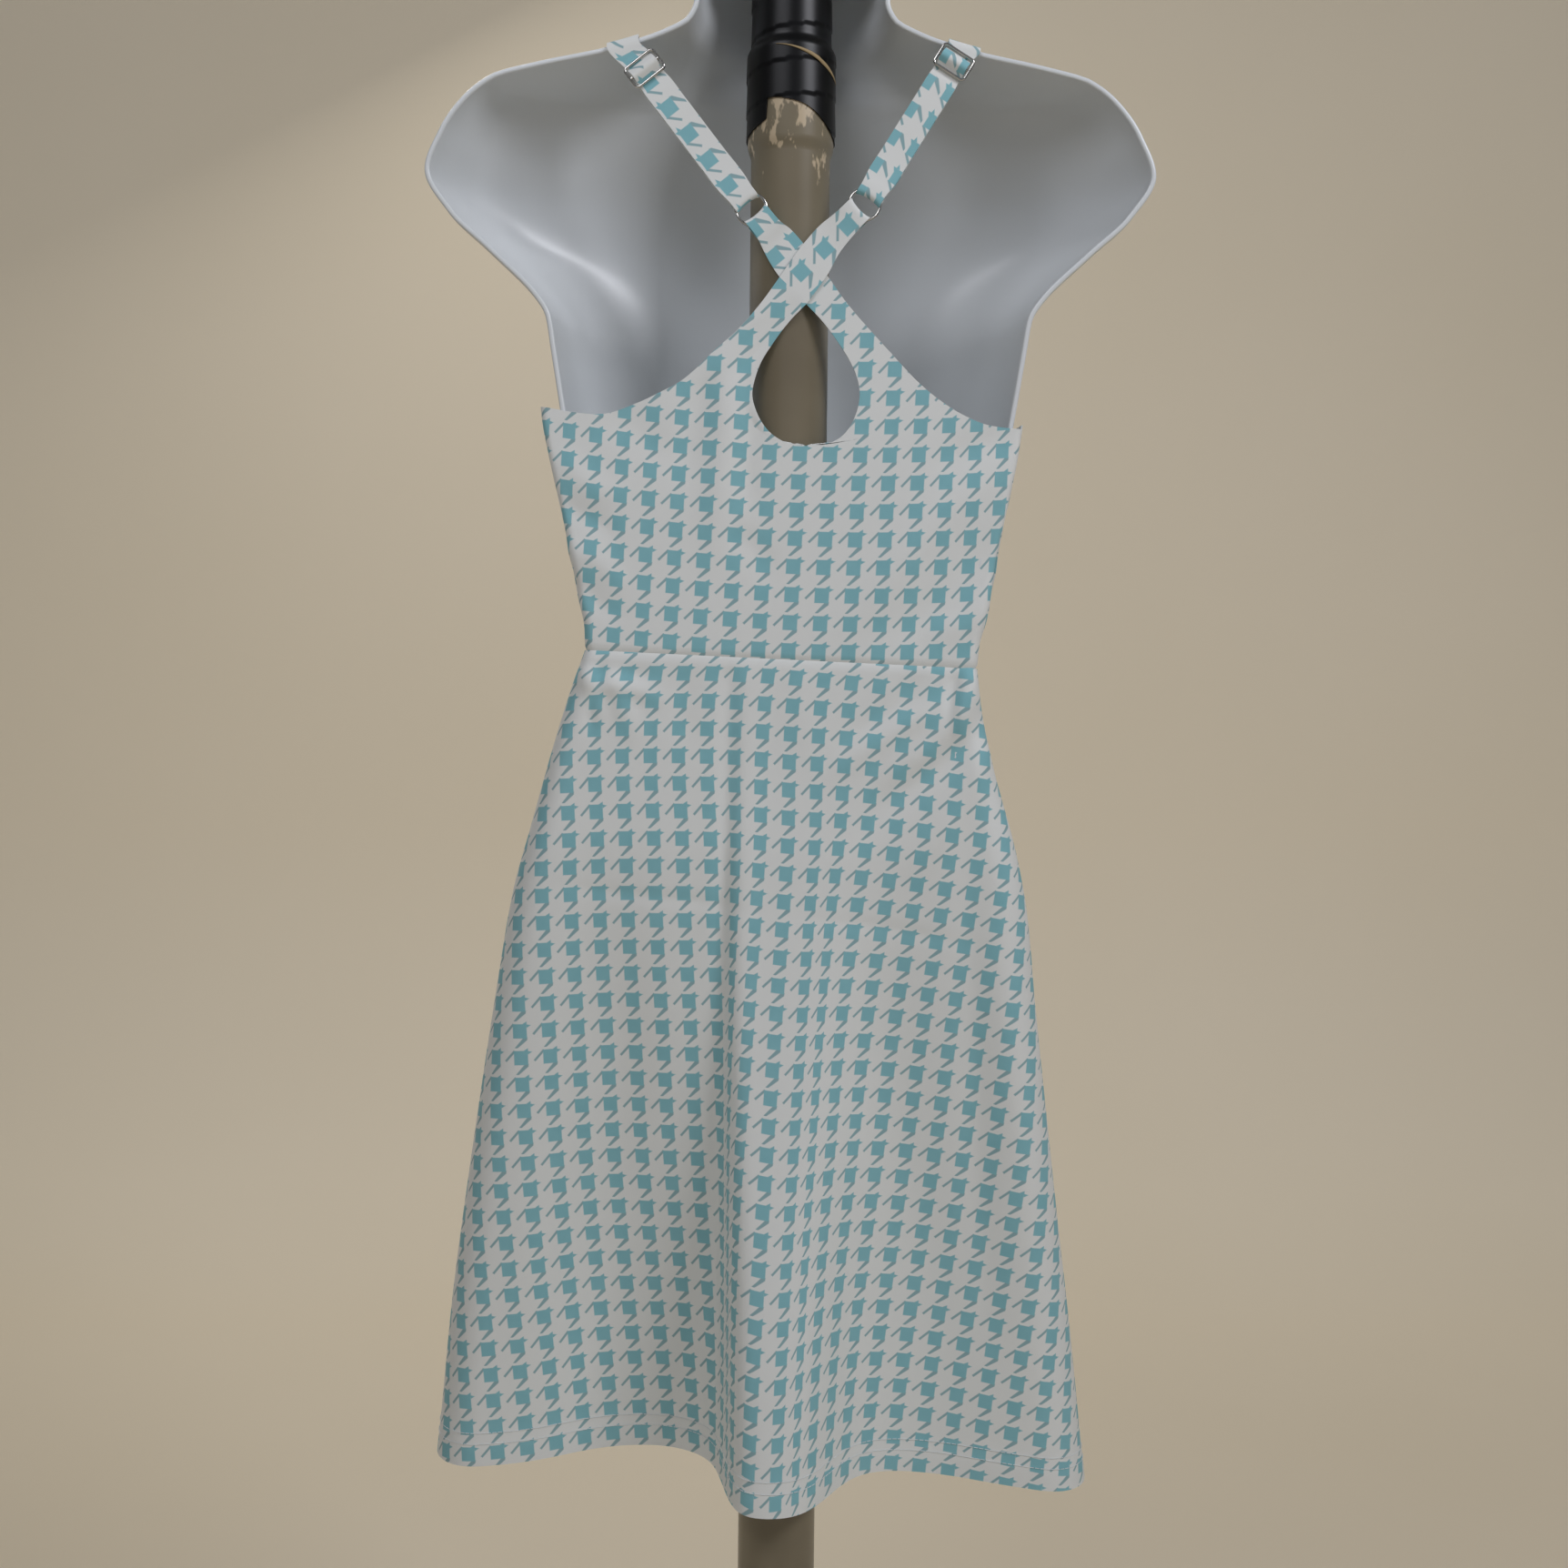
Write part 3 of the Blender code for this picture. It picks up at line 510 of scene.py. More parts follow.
def linear(hex_colour):
    """A linear colour from an sRGB hex string."""
    channels = [int(hex_colour[i : i + 2], 16) / 255 for i in (1, 3, 5)]
    return (*[c / 12.92 if c <= 0.04045 else ((c + 0.055) / 1.055) ** 2.4 for c in channels], 1.0)


def add_node(tree, kind, inputs=None, **settings):
    """Adds a shader node; each input is a value or another node's output."""
    made = tree.nodes.new(kind)
    for name, value in settings.items():
        setattr(made, name, value)
    for key, value in (inputs or {}).items():
        if isinstance(value, bpy.types.NodeSocket):
            tree.links.new(value, made.inputs[key])
        else:
            made.inputs[key].default_value = value
    return made


def calculate(tree, operation, *values, clamp=False):
    inputs = dict(enumerate(values))
    return add_node(tree, "ShaderNodeMath", inputs, operation=operation, use_clamp=clamp).outputs[0]


def mix_colours(tree, factor, first, second):
    inputs = {"Factor": factor, 6: first, 7: second}
    return add_node(tree, "ShaderNodeMix", inputs, data_type="RGBA").outputs[2]


def noise(tree, vector, scale, detail, roughness=0.5):
    inputs = {"Vector": vector, "Scale": scale, "Detail": detail, "Roughness": roughness}
    return add_node(tree, "ShaderNodeTexNoise", inputs).outputs["Fac"]


def new_material(name, roughness, metallic=0.0, colour="#FFFFFF", **sockets):
    made = bpy.data.materials.new(name)
    made.use_nodes = True
    shader = made.node_tree.nodes["Principled BSDF"]
    shader.inputs["Base Color"].default_value = linear(colour)
    shader.inputs["Roughness"].default_value = roughness
    shader.inputs["Metallic"].default_value = metallic
    for socket, value in sockets.items():
        shader.inputs[socket.replace("_", " ")].default_value = value
    return made, made.node_tree, shader


def inside(tree, *distances):
    """1 where every signed distance is positive, 0 outside, and soft between them over a thread's width."""
    total = None
    for distance in distances:
        soft = calculate(tree, "MULTIPLY_ADD", distance, 1 / 0.03, 0.5, clamp=True)
        total = soft if total is None else calculate(tree, "MINIMUM", total, soft)
    return total


def half_plane(tree, x, y, start, end):
    """The signed distance from the line through two points, positive on its left as y runs down."""
    run = (end[0] - start[0], end[1] - start[1])
    length = math.hypot(*run)
    normal = (-run[1] / length, run[0] / length)
    part = calculate(tree, "MULTIPLY_ADD", x, normal[0], -(start[0] * normal[0] + start[1] * normal[1]))
    return calculate(tree, "MULTIPLY_ADD", y, normal[1], part)


def polygon(tree, x, y, points):
    edges = list(zip(points, points[1:] + points[:1]))
    return inside(tree, *[half_plane(tree, x, y, start, end) for start, end in edges])


def printed_knit():
    """White jersey, printed with a houndstooth of aqua squares whose corners run out in thin lines."""
    made, tree, shader = new_material("printed_jersey", 0.78, Sheen_Weight=0.12, Sheen_Roughness=0.4)
    coordinates = add_node(tree, "ShaderNodeUVMap", uv_map="print")
    parts_of = add_node(tree, "ShaderNodeSeparateXYZ", {0: coordinates.outputs[0]})
    across = calculate(tree, "DIVIDE", parts_of.outputs[0], PRINT_ACROSS)
    down = calculate(tree, "DIVIDE", parts_of.outputs[1], -PRINT_DOWN)
    x = calculate(tree, "WRAP", across, 0.655, -0.345)
    y = calculate(tree, "WRAP", down, 0.9, -0.1)
    square = polygon(tree, x, y, [(0, 0), (0.475, 0), (0.475, 0.535), (0, 0.535)])
    spike_up = polygon(tree, x, y, [(0.32, 0.01), (0.485, -0.1), (0.49, 0.06)])
    spike_right = polygon(tree, x, y, [(0.45, 0.0), (0.625, 0.045), (0.47, 0.15)])
    line_left = polygon(tree, x, y, [(0.0, -0.02), (0.07, 0.03), (-0.275, 0.42), (-0.335, 0.365)])
    under_corners = [(0.34, 0.52), (0.49, 0.5), (0.475, 0.6), (0.095, 0.935), (0.04, 0.89)]
    line_under = polygon(tree, x, y, under_corners)
    solid = calculate(tree, "MAXIMUM", square, calculate(tree, "MAXIMUM", spike_up, spike_right))
    lines = calculate(tree, "MAXIMUM", line_left, line_under)
    uneven = noise(tree, coordinates.outputs[0], 0.09, 2.0)
    ink = mix_colours(tree, uneven, linear(AQUA_LIGHT), linear(AQUA_DEEP))
    lined = mix_colours(tree, lines, linear(WHITE_CLOTH), linear(LINE_GREY))
    tree.links.new(mix_colours(tree, solid, lined, ink), shader.inputs["Base Color"])
    wales = add_node(
        tree,
        "ShaderNodeTexWave",
        {"Vector": coordinates.outputs[0], "Scale": 0.45, "Distortion": 0.6, "Detail": 1.0},
        wave_type="BANDS",
        bands_direction="X",
    )
    ribs = {"Strength": 0.12, "Distance": 0.0001, "Height": wales.outputs["Fac"]}
    bump = add_node(tree, "ShaderNodeBump", ribs)
    tree.links.new(bump.outputs[0], shader.inputs["Normal"])
    return made


def chipped_pipe():
    """Brown-grey gloss paint on a steel pipe, chipped to a pale ground where the tape was wound on it."""
    made, tree, shader = new_material("painted_pipe", 0.3)
    place_of = add_node(tree, "ShaderNodeTexCoord").outputs["Object"]
    stretched = add_node(tree, "ShaderNodeMapping", {"Vector": place_of, "Scale": (150.0, 150.0, 60.0)})
    chips = noise(tree, stretched.outputs[0], 1.0, 3.0, 0.6)
    height = add_node(tree, "ShaderNodeSeparateXYZ", {0: place_of}).outputs[2]
    first_chip, reach = WAIST_Z + 0.232, 0.09
    rising = calculate(tree, "MULTIPLY_ADD", height, 1 / reach, -first_chip / reach, clamp=True)
    wanted = calculate(tree, "MULTIPLY_ADD", rising, 0.25, -0.72)
    chipped = calculate(tree, "MULTIPLY", calculate(tree, "ADD", chips, wanted), 18.0, clamp=True)
    paint_tone = mix_colours(tree, noise(tree, place_of, 14.0, 3.0), linear("#685E4C"), linear("#958B74"))
    tree.links.new(mix_colours(tree, chipped, paint_tone, linear("#C9B79A")), shader.inputs["Base Color"])
    return made


def moulded_plastic():
    """Blow-moulded white plastic with a soft gloss, its skin faintly rippled by the mould."""
    gloss = {"Coat_Weight": 0.15, "Coat_Roughness": 0.2}
    made, tree, shader = new_material("moulded_plastic", 0.32, colour="#E2E6E8", **gloss)
    place_of = add_node(tree, "ShaderNodeTexCoord").outputs["Object"]
    ripple = noise(tree, place_of, 9.0, 1.0)
    bump = add_node(tree, "ShaderNodeBump", {"Strength": 0.25, "Distance": 0.002, "Height": ripple})
    tree.links.new(bump.outputs[0], shader.inputs["Normal"])
    return made


def backdrop_paint():
    """Matt cream paint with slow shifts of tone, lit from within where the sheet rises behind the object."""
    made, tree, shader = new_material("backdrop_paint", 0.8)
    place_of = add_node(tree, "ShaderNodeTexCoord").outputs["Object"]
    tone = mix_colours(tree, noise(tree, place_of, 1.3, 2.0), linear("#E6DAC2"), linear("#EDE2CE"))
    depth = add_node(tree, "ShaderNodeSeparateXYZ", {0: place_of}).outputs[1]
    glow_from, glow_over, brightest = 0.5, 1.6, 0.27
    glow = calculate(tree, "MULTIPLY_ADD", depth, 1 / glow_over, -glow_from / glow_over, clamp=True)
    shader.inputs["Emission Color"].default_value = linear("#ABA393")
    tree.links.new(calculate(tree, "MULTIPLY", glow, brightest), shader.inputs["Emission Strength"])
    tree.links.new(tone, shader.inputs["Base Color"])
    return made


AQUA_LIGHT, AQUA_DEEP, LINE_GREY, WHITE_CLOTH = "#8EC4CC", "#82BAC3", "#92B3B8", "#E8EAE7"
knit = printed_knit()
thread = new_material("sewing_thread", 0.6, colour="#E4E8E8")[0]
metal = new_material("nickel_plated_wire", 0.18, 1.0, colour="#C9C6C0")[0]
plastic = moulded_plastic()
pipe = chipped_pipe()
tape = new_material("vinyl_tape", 0.36, colour="#020203", Specular_IOR_Level=0.3)[0]
glue = new_material("aged_tape_adhesive", 0.6, colour="#A8926A")[0]
base_paint = new_material("dark_steel_paint", 0.45, colour="#3A3733")[0]
paint = backdrop_paint()

# Where the print starts on each piece, in millimetres across and up
PRINT_SHIFT = {
    "bodice": (2.5, 6.7),
    "skirt": (9.95, 5.9),
    "end_left": (5.3, -11.1),
    "end_right": (-6.6, -2.2),
    "strap_left": (-4.2, -6.7),
    "strap_right": (-8.2, -11.9),
}
STRAP_STRETCH = 1.095


def bodice_print(x, rise):
    """The print is stretched over the middle of the back, and its rows sag there."""
    shift = PRINT_SHIFT["bodice"]
    across = 0.965 * x + 3.3e-6 * x**3 - 0.0463 * rise + shift[0]
    up = 1.012 * rise - 0.00046 * x * x - 0.003 * x + shift[1]
    return np.stack([across, up], axis=-1)


def skirt_print(length, drop):
    """The skirt is cut as a part of a ring, and the flanks of its fold take up more cloth than the rest."""
    waist_radius = 900.0
    shift = PRINT_SHIFT["skirt"]
    turn = length / (waist_radius + drop)
    flanks = 6.7 * np.tanh((length + 18) / 8) + 6.2 * np.tanh((length - 30) / 8)
    slanted = 1.04 * length + 0.0146 * drop - 1.65e-4 * length * drop
    across = slanted + flanks * ease_between(drop, 20, 240) + shift[0]
    sunk = 7.5 * np.exp(-(((length - 12) / 22) ** 2)) * drop / HEM_DROP
    below_waist = waist_radius - (waist_radius + drop) * np.cos(turn)
    up = 1.022 * below_waist + 0.019 * length + sunk + shift[1]
    return np.stack([across, up], axis=-1)


def turned_print(along, left, name):
    """A strap is cut along the knit's courses and pulled a little longer, so its print lies on its side."""
    shift = PRINT_SHIFT[name]
    return np.stack([along / STRAP_STRETCH + shift[0], left + shift[1]], axis=-1)


def between(outer, inner, count):
    share = np.linspace(0, 1, count)
    return np.asarray(outer)[..., None] * (1 - share) + np.asarray(inner)[..., None] * share


def ring_rows(outer_y, inner_y, back_to):
    """Rows of (along, depth, unfolded length) over a ring's wire, round it and back under the strap."""
    rows = [(0.0, outer_y, 0.0), (-LOOP_STRAIGHT, outer_y, -LOOP_STRAIGHT)]
    for turn in np.linspace(0, math.pi, 9)[1:-1]:
        along = -LOOP_STRAIGHT - LOOP_END * math.sin(turn)
        unfolded = -LOOP_STRAIGHT - LOOP_END * 1.6 * turn / 1.57
        rows.append((along, RING_Y - LOOP_HALF_DEPTH * math.cos(turn), unfolded))
    rows.append((-LOOP_STRAIGHT, inner_y, -LOOP_STRAIGHT - 6))
    rows.append((back_to, inner_y, -LOOP_STRAIGHT * 2 - back_to - 6))
    return rows


def pressed_out(along, offset):
    """A loop's end follows the round of the ring a little."""
    hollow = RING_RADIUS - np.sqrt(RING_RADIUS**2 - np.minimum(np.abs(offset), RING_RADIUS) ** 2)
    return along - LOOP_BEND * hollow * min(max(-along / LOOP_STRAIGHT, 0.0), 1.0)


def arm_rows(edges, first):
    """Rows across one half of the back, from under the keyhole to the crossing."""
    under_keyhole, above, corner = 30, 62, 4
    rows = np.array([first, *zip(*edges.values())])
    fine = through(rows[:, None, :], 900)[:, 0]
    parting = int(np.argmin(np.abs(fine - rows[corner]).sum(axis=-1)))
    under = fine[np.linspace(0, parting, under_keyhole).astype(int)]
    under[:, 2] = np.linspace(rows[0, 2], rows[corner, 2], under_keyhole)
    under[:, 3] = np.linspace(rows[0, 3], rows[corner, 3], under_keyhole)
    under[:, 4] = BACK_MID
    return np.concatenate([under, fine[np.linspace(parting, 899, above).astype(int)][1:]])


def bodice_back():
    """Two halves welded along the middle line, up to the keyhole, each with its arm and strap end."""
    patches = []
    for sign, edges, end, ring, name in (
        (-1, BACK_LEFT, LEFT_END, RIGHT_RING, "end_right"),
        (1, BACK_RIGHT, RIGHT_END, LEFT_RING, "end_left"),
    ):
        columns = 84
        part = np.linspace(0, 1, 54)
        outer_rise, inner_rise = 134.6 * part, 93.0 * part
        flat = between(seam_flat(outer_rise, sign), -2.3 + 11.5 * part, columns)
        rise = between(outer_rise, inner_rise, columns)
        lower = np.stack([flat, rise, np.full_like(flat, BACK_MID)], axis=-1)
        first = [lower[-1, 0, 0], lower[-1, 0, 1], lower[-1, -1, 0], lower[-1, -1, 1], BACK_MID]
        rows = arm_rows(edges, first)
        flat, rise = between(rows[:, 0], rows[:, 2], columns), between(rows[:, 1], rows[:, 3], columns)
        number, across = np.arange(len(rows))[:, None], np.linspace(0, 1, columns)
        sag = 0.6 * ease_between(number, 0, 20) * (1 - ease_between(number, 45, 80))
        rise = rise - sag * (rows[:, 1:2] - rows[:, 3:4]) * across * (1 - across)
        upper = np.stack([flat, rise, np.broadcast_to(rows[:, 4:5], flat.shape)], axis=-1)
        every = np.concatenate([lower, upper[1:]])
        flat, rise, y = every[..., 0], every[..., 1], every[..., 2]
        x, depth = back_point(flat, rise, y)
        points = hang(x, depth, rise)
        from_inner_edge = np.abs(flat - flat[:, -1:])
        edge = np.minimum(np.arange(len(every))[:, None] / 2.0, 1.0) * ease_between(from_inner_edge, 0, 7)
        heights = crease_height(BACK_CREASES, flat, rise) * edge
        heights -= 1.0 * (1 - ease_between(rise, 0, 2.4))
        points = raised(points, heights, (0, -1, 0))
        patches.append((points, bodice_print(flat, rise)))
        patches.append(strap_end(points[-1], edges, end, ring, name, sign, columns))
    return cloth_object("bodice_back_cloth", "bodice_back", patches, knit, weld=True)


def strap_end(seam_row, edges, end, ring, name, sign, columns):
    """The straight strap end sewn on at the crossing, which takes the panel's arm to its ring."""
    last = [edges[key][-1] for key in edges]
    rows = np.array([last, *zip(*end.values())])
    middle = np.array([(rows[-1, 0] + rows[-1, 2]) / 2, (rows[-1, 1] + rows[-1, 3]) / 2])
    away = (middle - ring) / np.hypot(*(middle - ring))
    wire = np.array(ring) + RING_RADIUS * away
    outer_side = np.array([away[1], -away[0]])
    outer_side = outer_side if outer_side[1] > 0 else -outer_side
    made = []
    for row in rows:
        flat, rise = between(row[0], row[2], columns), between(row[1], row[3], columns)
        from_wire = (flat - wire[0]) * away[0] + (rise - wire[1]) * away[1]
        made.append((flat, rise, np.full(columns, row[4]), from_wire))
    offsets = np.linspace(0.5, -0.5, columns)
    ring_part = [(7.0, -3.6, 7.0, STRAP_AT_RING + 0.8)]
    loop = ring_rows(RING_Y - LOOP_HALF_DEPTH, RING_Y + LOOP_HALF_DEPTH, 10.0)
    ring_part += [(*row, STRAP_AT_RING) for row in loop]
    for along, y, unfolded, width in ring_part:
        reach = pressed_out(along, offsets * width)
        x = wire[0] + away[0] * reach + outer_side[0] * offsets * width
        rise = wire[1] + away[1] * reach + outer_side[1] * offsets * width
        made.append((x, rise, np.full(columns, y), np.full(columns, unfolded)))
    left_way = np.array([away[1], -away[0]])
    grid = np.moveaxis(np.array(made), 1, -1)
    across = (grid[..., 0] - wire[0]) * left_way[0] + (grid[..., 1] - wire[1]) * left_way[1]
    level = 1 - ease_between(grid[..., 1], LEVEL_FROM, LEVEL_AT)
    rise = grid[..., 1] - HANG_SLOPE * level * grid[..., 0]
    points = place(grid[..., 0], grid[..., 2], rise) / MM
    fine = through(np.concatenate([points, grid[..., 3:4], across[..., None]], axis=-1), 80)
    points = fine[..., :3] * MM
    points[0] = seam_row
    return points, turned_print(-fine[..., 3], fine[..., 4], name)


def bodice_front():
    """Two halves welded along the middle line, up to the neckline, each with its strap corner."""
    patches = []
    for sign in (-1, 1):
        columns = 64
        part = np.linspace(0, 1, 50)
        outer_rise, inner_rise = 134.6 * part, 97.0 * part
        outer_angle = np.full_like(part, 0.004 if sign < 0 else math.pi - 0.004)
        angle = between(outer_angle, front_angle(0.0, inner_rise), columns)
        lower = np.stack([angle, between(outer_rise, inner_rise, columns)], axis=-1)
        first = [sign * 138.0, 134.6, 0.0, 97.0]
        rows = np.array([first] + [(sign * o, r, sign * i, s) for o, r, i, s in zip(*FRONT_EDGE.values())])
        rows = through(rows[:, None, :], 80)[:, 0]
        angle = between(front_angle(rows[:, 0], rows[:, 1]), front_angle(rows[:, 2], rows[:, 3]), columns)
        blend = (1 - np.linspace(0, 1, 80) * 12).clip(0, 1)[:, None]
        angle = angle * (1 - blend) + lower[-1, :, 0] * blend
        upper = np.stack([angle, between(rows[:, 1], rows[:, 3], columns)], axis=-1)
        every = np.concatenate([lower, upper[1:]])
        angle, rise = every[..., 0], every[..., 1]
        x, depth = front_point(angle, rise)
        points = hang(x, depth, rise)
        steps = np.linalg.norm(np.diff(points, axis=1), axis=-1) / MM
        from_middle = np.cumsum(steps[:, ::-1], axis=1)[:, ::-1]
        length = np.concatenate([from_middle, np.zeros((len(points), 1))], axis=1) * sign
        edge = ease_between(np.abs(x), 0, 6) * ease_between(length * sign, 0, 10) * ease_between(rise, 0, 8)
        heights = 0.55 * np.maximum(crease_height(BACK_CREASES, -x, rise), 0) * edge
        points = raised(points, heights - 1.0 * (1 - ease_between(rise, 0, 2.4)), (0, 1, 0))
        patches.append((points, bodice_print(-length * 0.9, rise) + np.array([0, 5.0])))
    return cloth_object("bodice_front_cloth", "bodice_front", patches, knit, weld=True)


def skirt_grid(back, rows, columns):
    """Points and print coordinates of a skirt panel from the waist seam to the hem."""
    points, prints, level, edges = [], [], [], []
    for part in np.linspace(0, 1, rows):
        drop = HEM_DROP * part
        x, y = skirt_line(drop, back)
        lengths = np.concatenate([[0], np.cumsum(np.hypot(np.diff(x), np.diff(y)))])
        wanted = np.linspace(0.1, lengths[-1] - 0.1, columns)
        x, y = np.interp(wanted, lengths, x), np.interp(wanted, lengths, y)
        fall = 0.15 + (hem_drop(x, back) - 0.15) * part
        row = hang(x, y, -fall)
        roll = 1.0 * (1 - ease_between(fall, 0, 2.4))
        points.append(row)
        prints.append(skirt_print((wanted - lengths[-1] / 2) * (1 if back else -1), fall))
        points[-1][:, 1] += (roll if back else -roll) * MM
        level.append(hem_drop(x, back) - fall)
        edges.append(ease_between(np.minimum(wanted, lengths[-1] - wanted), 0, 9))
    points, prints, level, edges = (np.array(rows) for rows in (points, prints, level, edges))
    x, rise = points[..., 0] / MM, (points[..., 2] - WAIST_Z) / MM
    outward = (0, -1, 0) if back else (0, 1, 0)
    heights = crease_height(SKIRT_CREASES, x if back else -x, rise) * edges * ease_between(-rise, 0, 12)
    if not back:
        heights *= ease_between(-rise, 70, 140)
    doubled = 0.35 * (1 - ease_between(level, 17, 22))
    heights += doubled - 0.25 * np.exp(-(((level - 16) / 3) ** 2))
    return raised(points, heights, outward), prints


def hem_stitches(name, grid, outward):
    """Twin-needle topstitching round the hem, in two rows above its edge."""
    points = raised(grid[0], np.full(grid[0].shape[:2], CLOTH / MM / 2 + 0.22), outward)
    for row, above in (("low", 13.0), ("high", 19.5)):
        at = (len(points) - 1) * (1 - above / HEM_DROP)
        whole = int(at)
        line = points[whole] * (1 - at + whole) + points[whole + 1] * (at - whole)
        stitch_row(line, 0.0032, 0.0024, name + row)


def strap_line(ring, side):
    """Where an upper strap crosses the form's rim, and the way there from its ring."""
    crest = np.array([side * CREST_X[side], float(rim_rise(CREST_X[side]))])
    return crest, (crest - ring) / np.hypot(*(crest - ring))


def strap_rows(ring, side):
    """Rows of (along, depth, width) of an upper strap from its slider round its ring to the crest."""
    crest, up = strap_line(ring, side)
    wire = np.array(ring) + RING_RADIUS * up
    length = np.hypot(*(crest - wire))
    slider = length - SLIDER_FROM_CREST[side]
    perp = np.array([up[1], -up[0]])
    low_bar = slider - SLIDER_HALF_LENGTH
    under, over, snug = SLIDER_Y + BAR_CLEAR, SLIDER_Y - BAR_CLEAR, STRAP_WIDTH - 0.6
    rows = [
        (slider + 1.2, under, snug),
        (slider - 1.8, under + 0.3, snug),
        (slider - 4.2, -0.75, snug),
        (low_bar, -0.3, STRAP_WIDTH),
        (low_bar - 5, -0.6, STRAP_WIDTH),
    ]
    rows += [(12 + (low_bar - 17) * part, -1.0, STRAP_WIDTH) for part in (0.75, 0.5, 0.25)]
    rows.append((8, -1.0, STRAP_AT_RING + 1.6))
    loop = ring_rows(RING_Y - LOOP_HALF_DEPTH, RING_Y + LOOP_HALF_DEPTH, 3.0)[::-1]
    rows += [(along, y, STRAP_AT_RING) for along, y, _ in loop]
    rows.append((8, -3.6, STRAP_AT_RING + 1.6))
    rows += [(12 + (low_bar - 17) * part, -2.7, STRAP_WIDTH) for part in (0.2, 0.5, 0.8)]
    rows += [(low_bar - 5, -2.4, STRAP_WIDTH), (low_bar - 1.4, under, snug)]
    for part in (0, 0.25, 0.5, 0.75):
        risen = under + (over - under) * (1 - math.cos(math.pi * part)) / 2
        rows.append((low_bar + SLIDER_HALF_LENGTH * part, risen, snug))
    rows += [(slider - 0.7, over, snug), (slider + 0.7, over, snug)]
    for part in (0.25, 0.5, 0.75, 1):
        risen = under + (over - under) * (1 + math.cos(math.pi * part)) / 2
        rows.append((slider + SLIDER_HALF_LENGTH * part, risen, snug))
    return crest, wire, up, perp, rows


def crest_rows(crest, side, columns):
    """Rows of points over the form's rim, along the shoulder and down the chest."""
    slope = (float(rim_rise(abs(crest[0]) - 5.0)) - float(rim_rise(abs(crest[0]) + 5.0))) / 10
    rim_way = np.array([1.0, -side * slope])
    rim_way = rim_way / np.hypot(*rim_way)
    share = np.linspace(-1, 1, columns)
    rows = []
    for turn in (180, 150, 120, 90):
        x = crest[0] + rim_way[0] * STRAP_WIDTH / 2 * 1.09 * share
        lift = -1.0 + 2.4 * math.sin(math.radians(turn))
        rows.append(place(x, 1.0 + 2.4 * math.cos(math.radians(turn)), rim_rise(x) + lift))
    gap = 1.6
    for depth, centre_x in ((9, 95.5), (18, 97), (28, 98), (38, 98.5), (47, 98)):
        x = side * centre_x + STRAP_WIDTH / 2 * 1.02 * share
        slope_here = (top_rise(x, depth - 2.0) - top_rise(x, depth + 2.0)) / 4
        steep = np.hypot(1, slope_here)
        rows.append(place(x, depth + gap * slope_here / steep, top_rise(x, float(depth)) + gap / steep))
    start_rise = float(top_rise(side * 98.0, 53.0))
    for part in np.linspace(0, 1, 9):
        rise = start_rise + (254.0 - start_rise) * part
        x = side * (97.3 - 12.3 * float(ease_between(part, 0, 1))) + STRAP_WIDTH / 2 * share
        slope_here = (form_depth(x, rise - 2) - form_depth(x, rise + 2)) / 4
        steep = np.hypot(1, slope_here)
        far_y = front_point(front_angle(x, rise), rise)[1]
        blend = float(ease_between(part, 0.3, 1))
        y = (form_depth(x, rise) + gap / steep) * (1 - blend) + far_y * blend
        rows.append(place(x, y, rise + gap * slope_here / steep * (1 - blend)))
    return rows


def shoulder_strap(name, ring, side):
    columns, middle = 13, 6
    crest, wire, up, perp, rows = strap_rows(ring, side)
    share = np.linspace(-1, 1, columns)
    made = []
    for along, y, width in rows:
        offset = width / 2 * share
        reach = pressed_out(along, offset)
        x, rise = (wire[axis] + up[axis] * reach + perp[axis] * offset for axis in (0, 1))
        made.append(place(x, y, rise))
    made += crest_rows(crest, side, columns)
    fine = through(np.array(made) / MM, 420) * MM
    steps = np.linalg.norm(np.diff(fine, axis=0), axis=-1).mean(axis=1) / MM
    lengths = np.concatenate([[0], np.cumsum(steps)])
    over_wire = place(wire[0], RING_Y - LOOP_HALF_DEPTH, wire[1])
    seen = np.argmin(np.linalg.norm(fine[:, middle] - over_wire, axis=-1))
    lengths = (lengths - lengths[seen])[:, None] + np.zeros((1, columns))
    across = -share[None, :] * STRAP_WIDTH / 2 + np.zeros_like(lengths)
    patch = (fine, turned_print(lengths, across, name))
    return cloth_object(f"{name}_cloth", name, [patch], knit, thickness=0.0012)


def stitch_row(points, spacing, length, name):
    """A run of short raised stitches along a line of points."""
    points = np.array(points)
    steps = np.linalg.norm(np.diff(points, axis=0), axis=-1)
    places = np.concatenate([[0], np.cumsum(steps)])
    curve = bpy.data.curves.new(name, "CURVE")
    curve.dimensions = "3D"
    curve.bevel_depth = 0.00022
    curve.bevel_resolution = 1
    curve.use_fill_caps = True
    for start in np.arange(spacing / 2, places[-1] - length, spacing):
        spline = curve.splines.new("POLY")
        spline.points.add(2)
        for point, at in zip(spline.points, (start, start + length / 2, start + length)):
            point.co = (*[np.interp(at, places, points[:, axis]) for axis in range(3)], 1)
    solid = settle(add_object(name, curve), name, thread, 60)
    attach(solid, "root")
    return solid


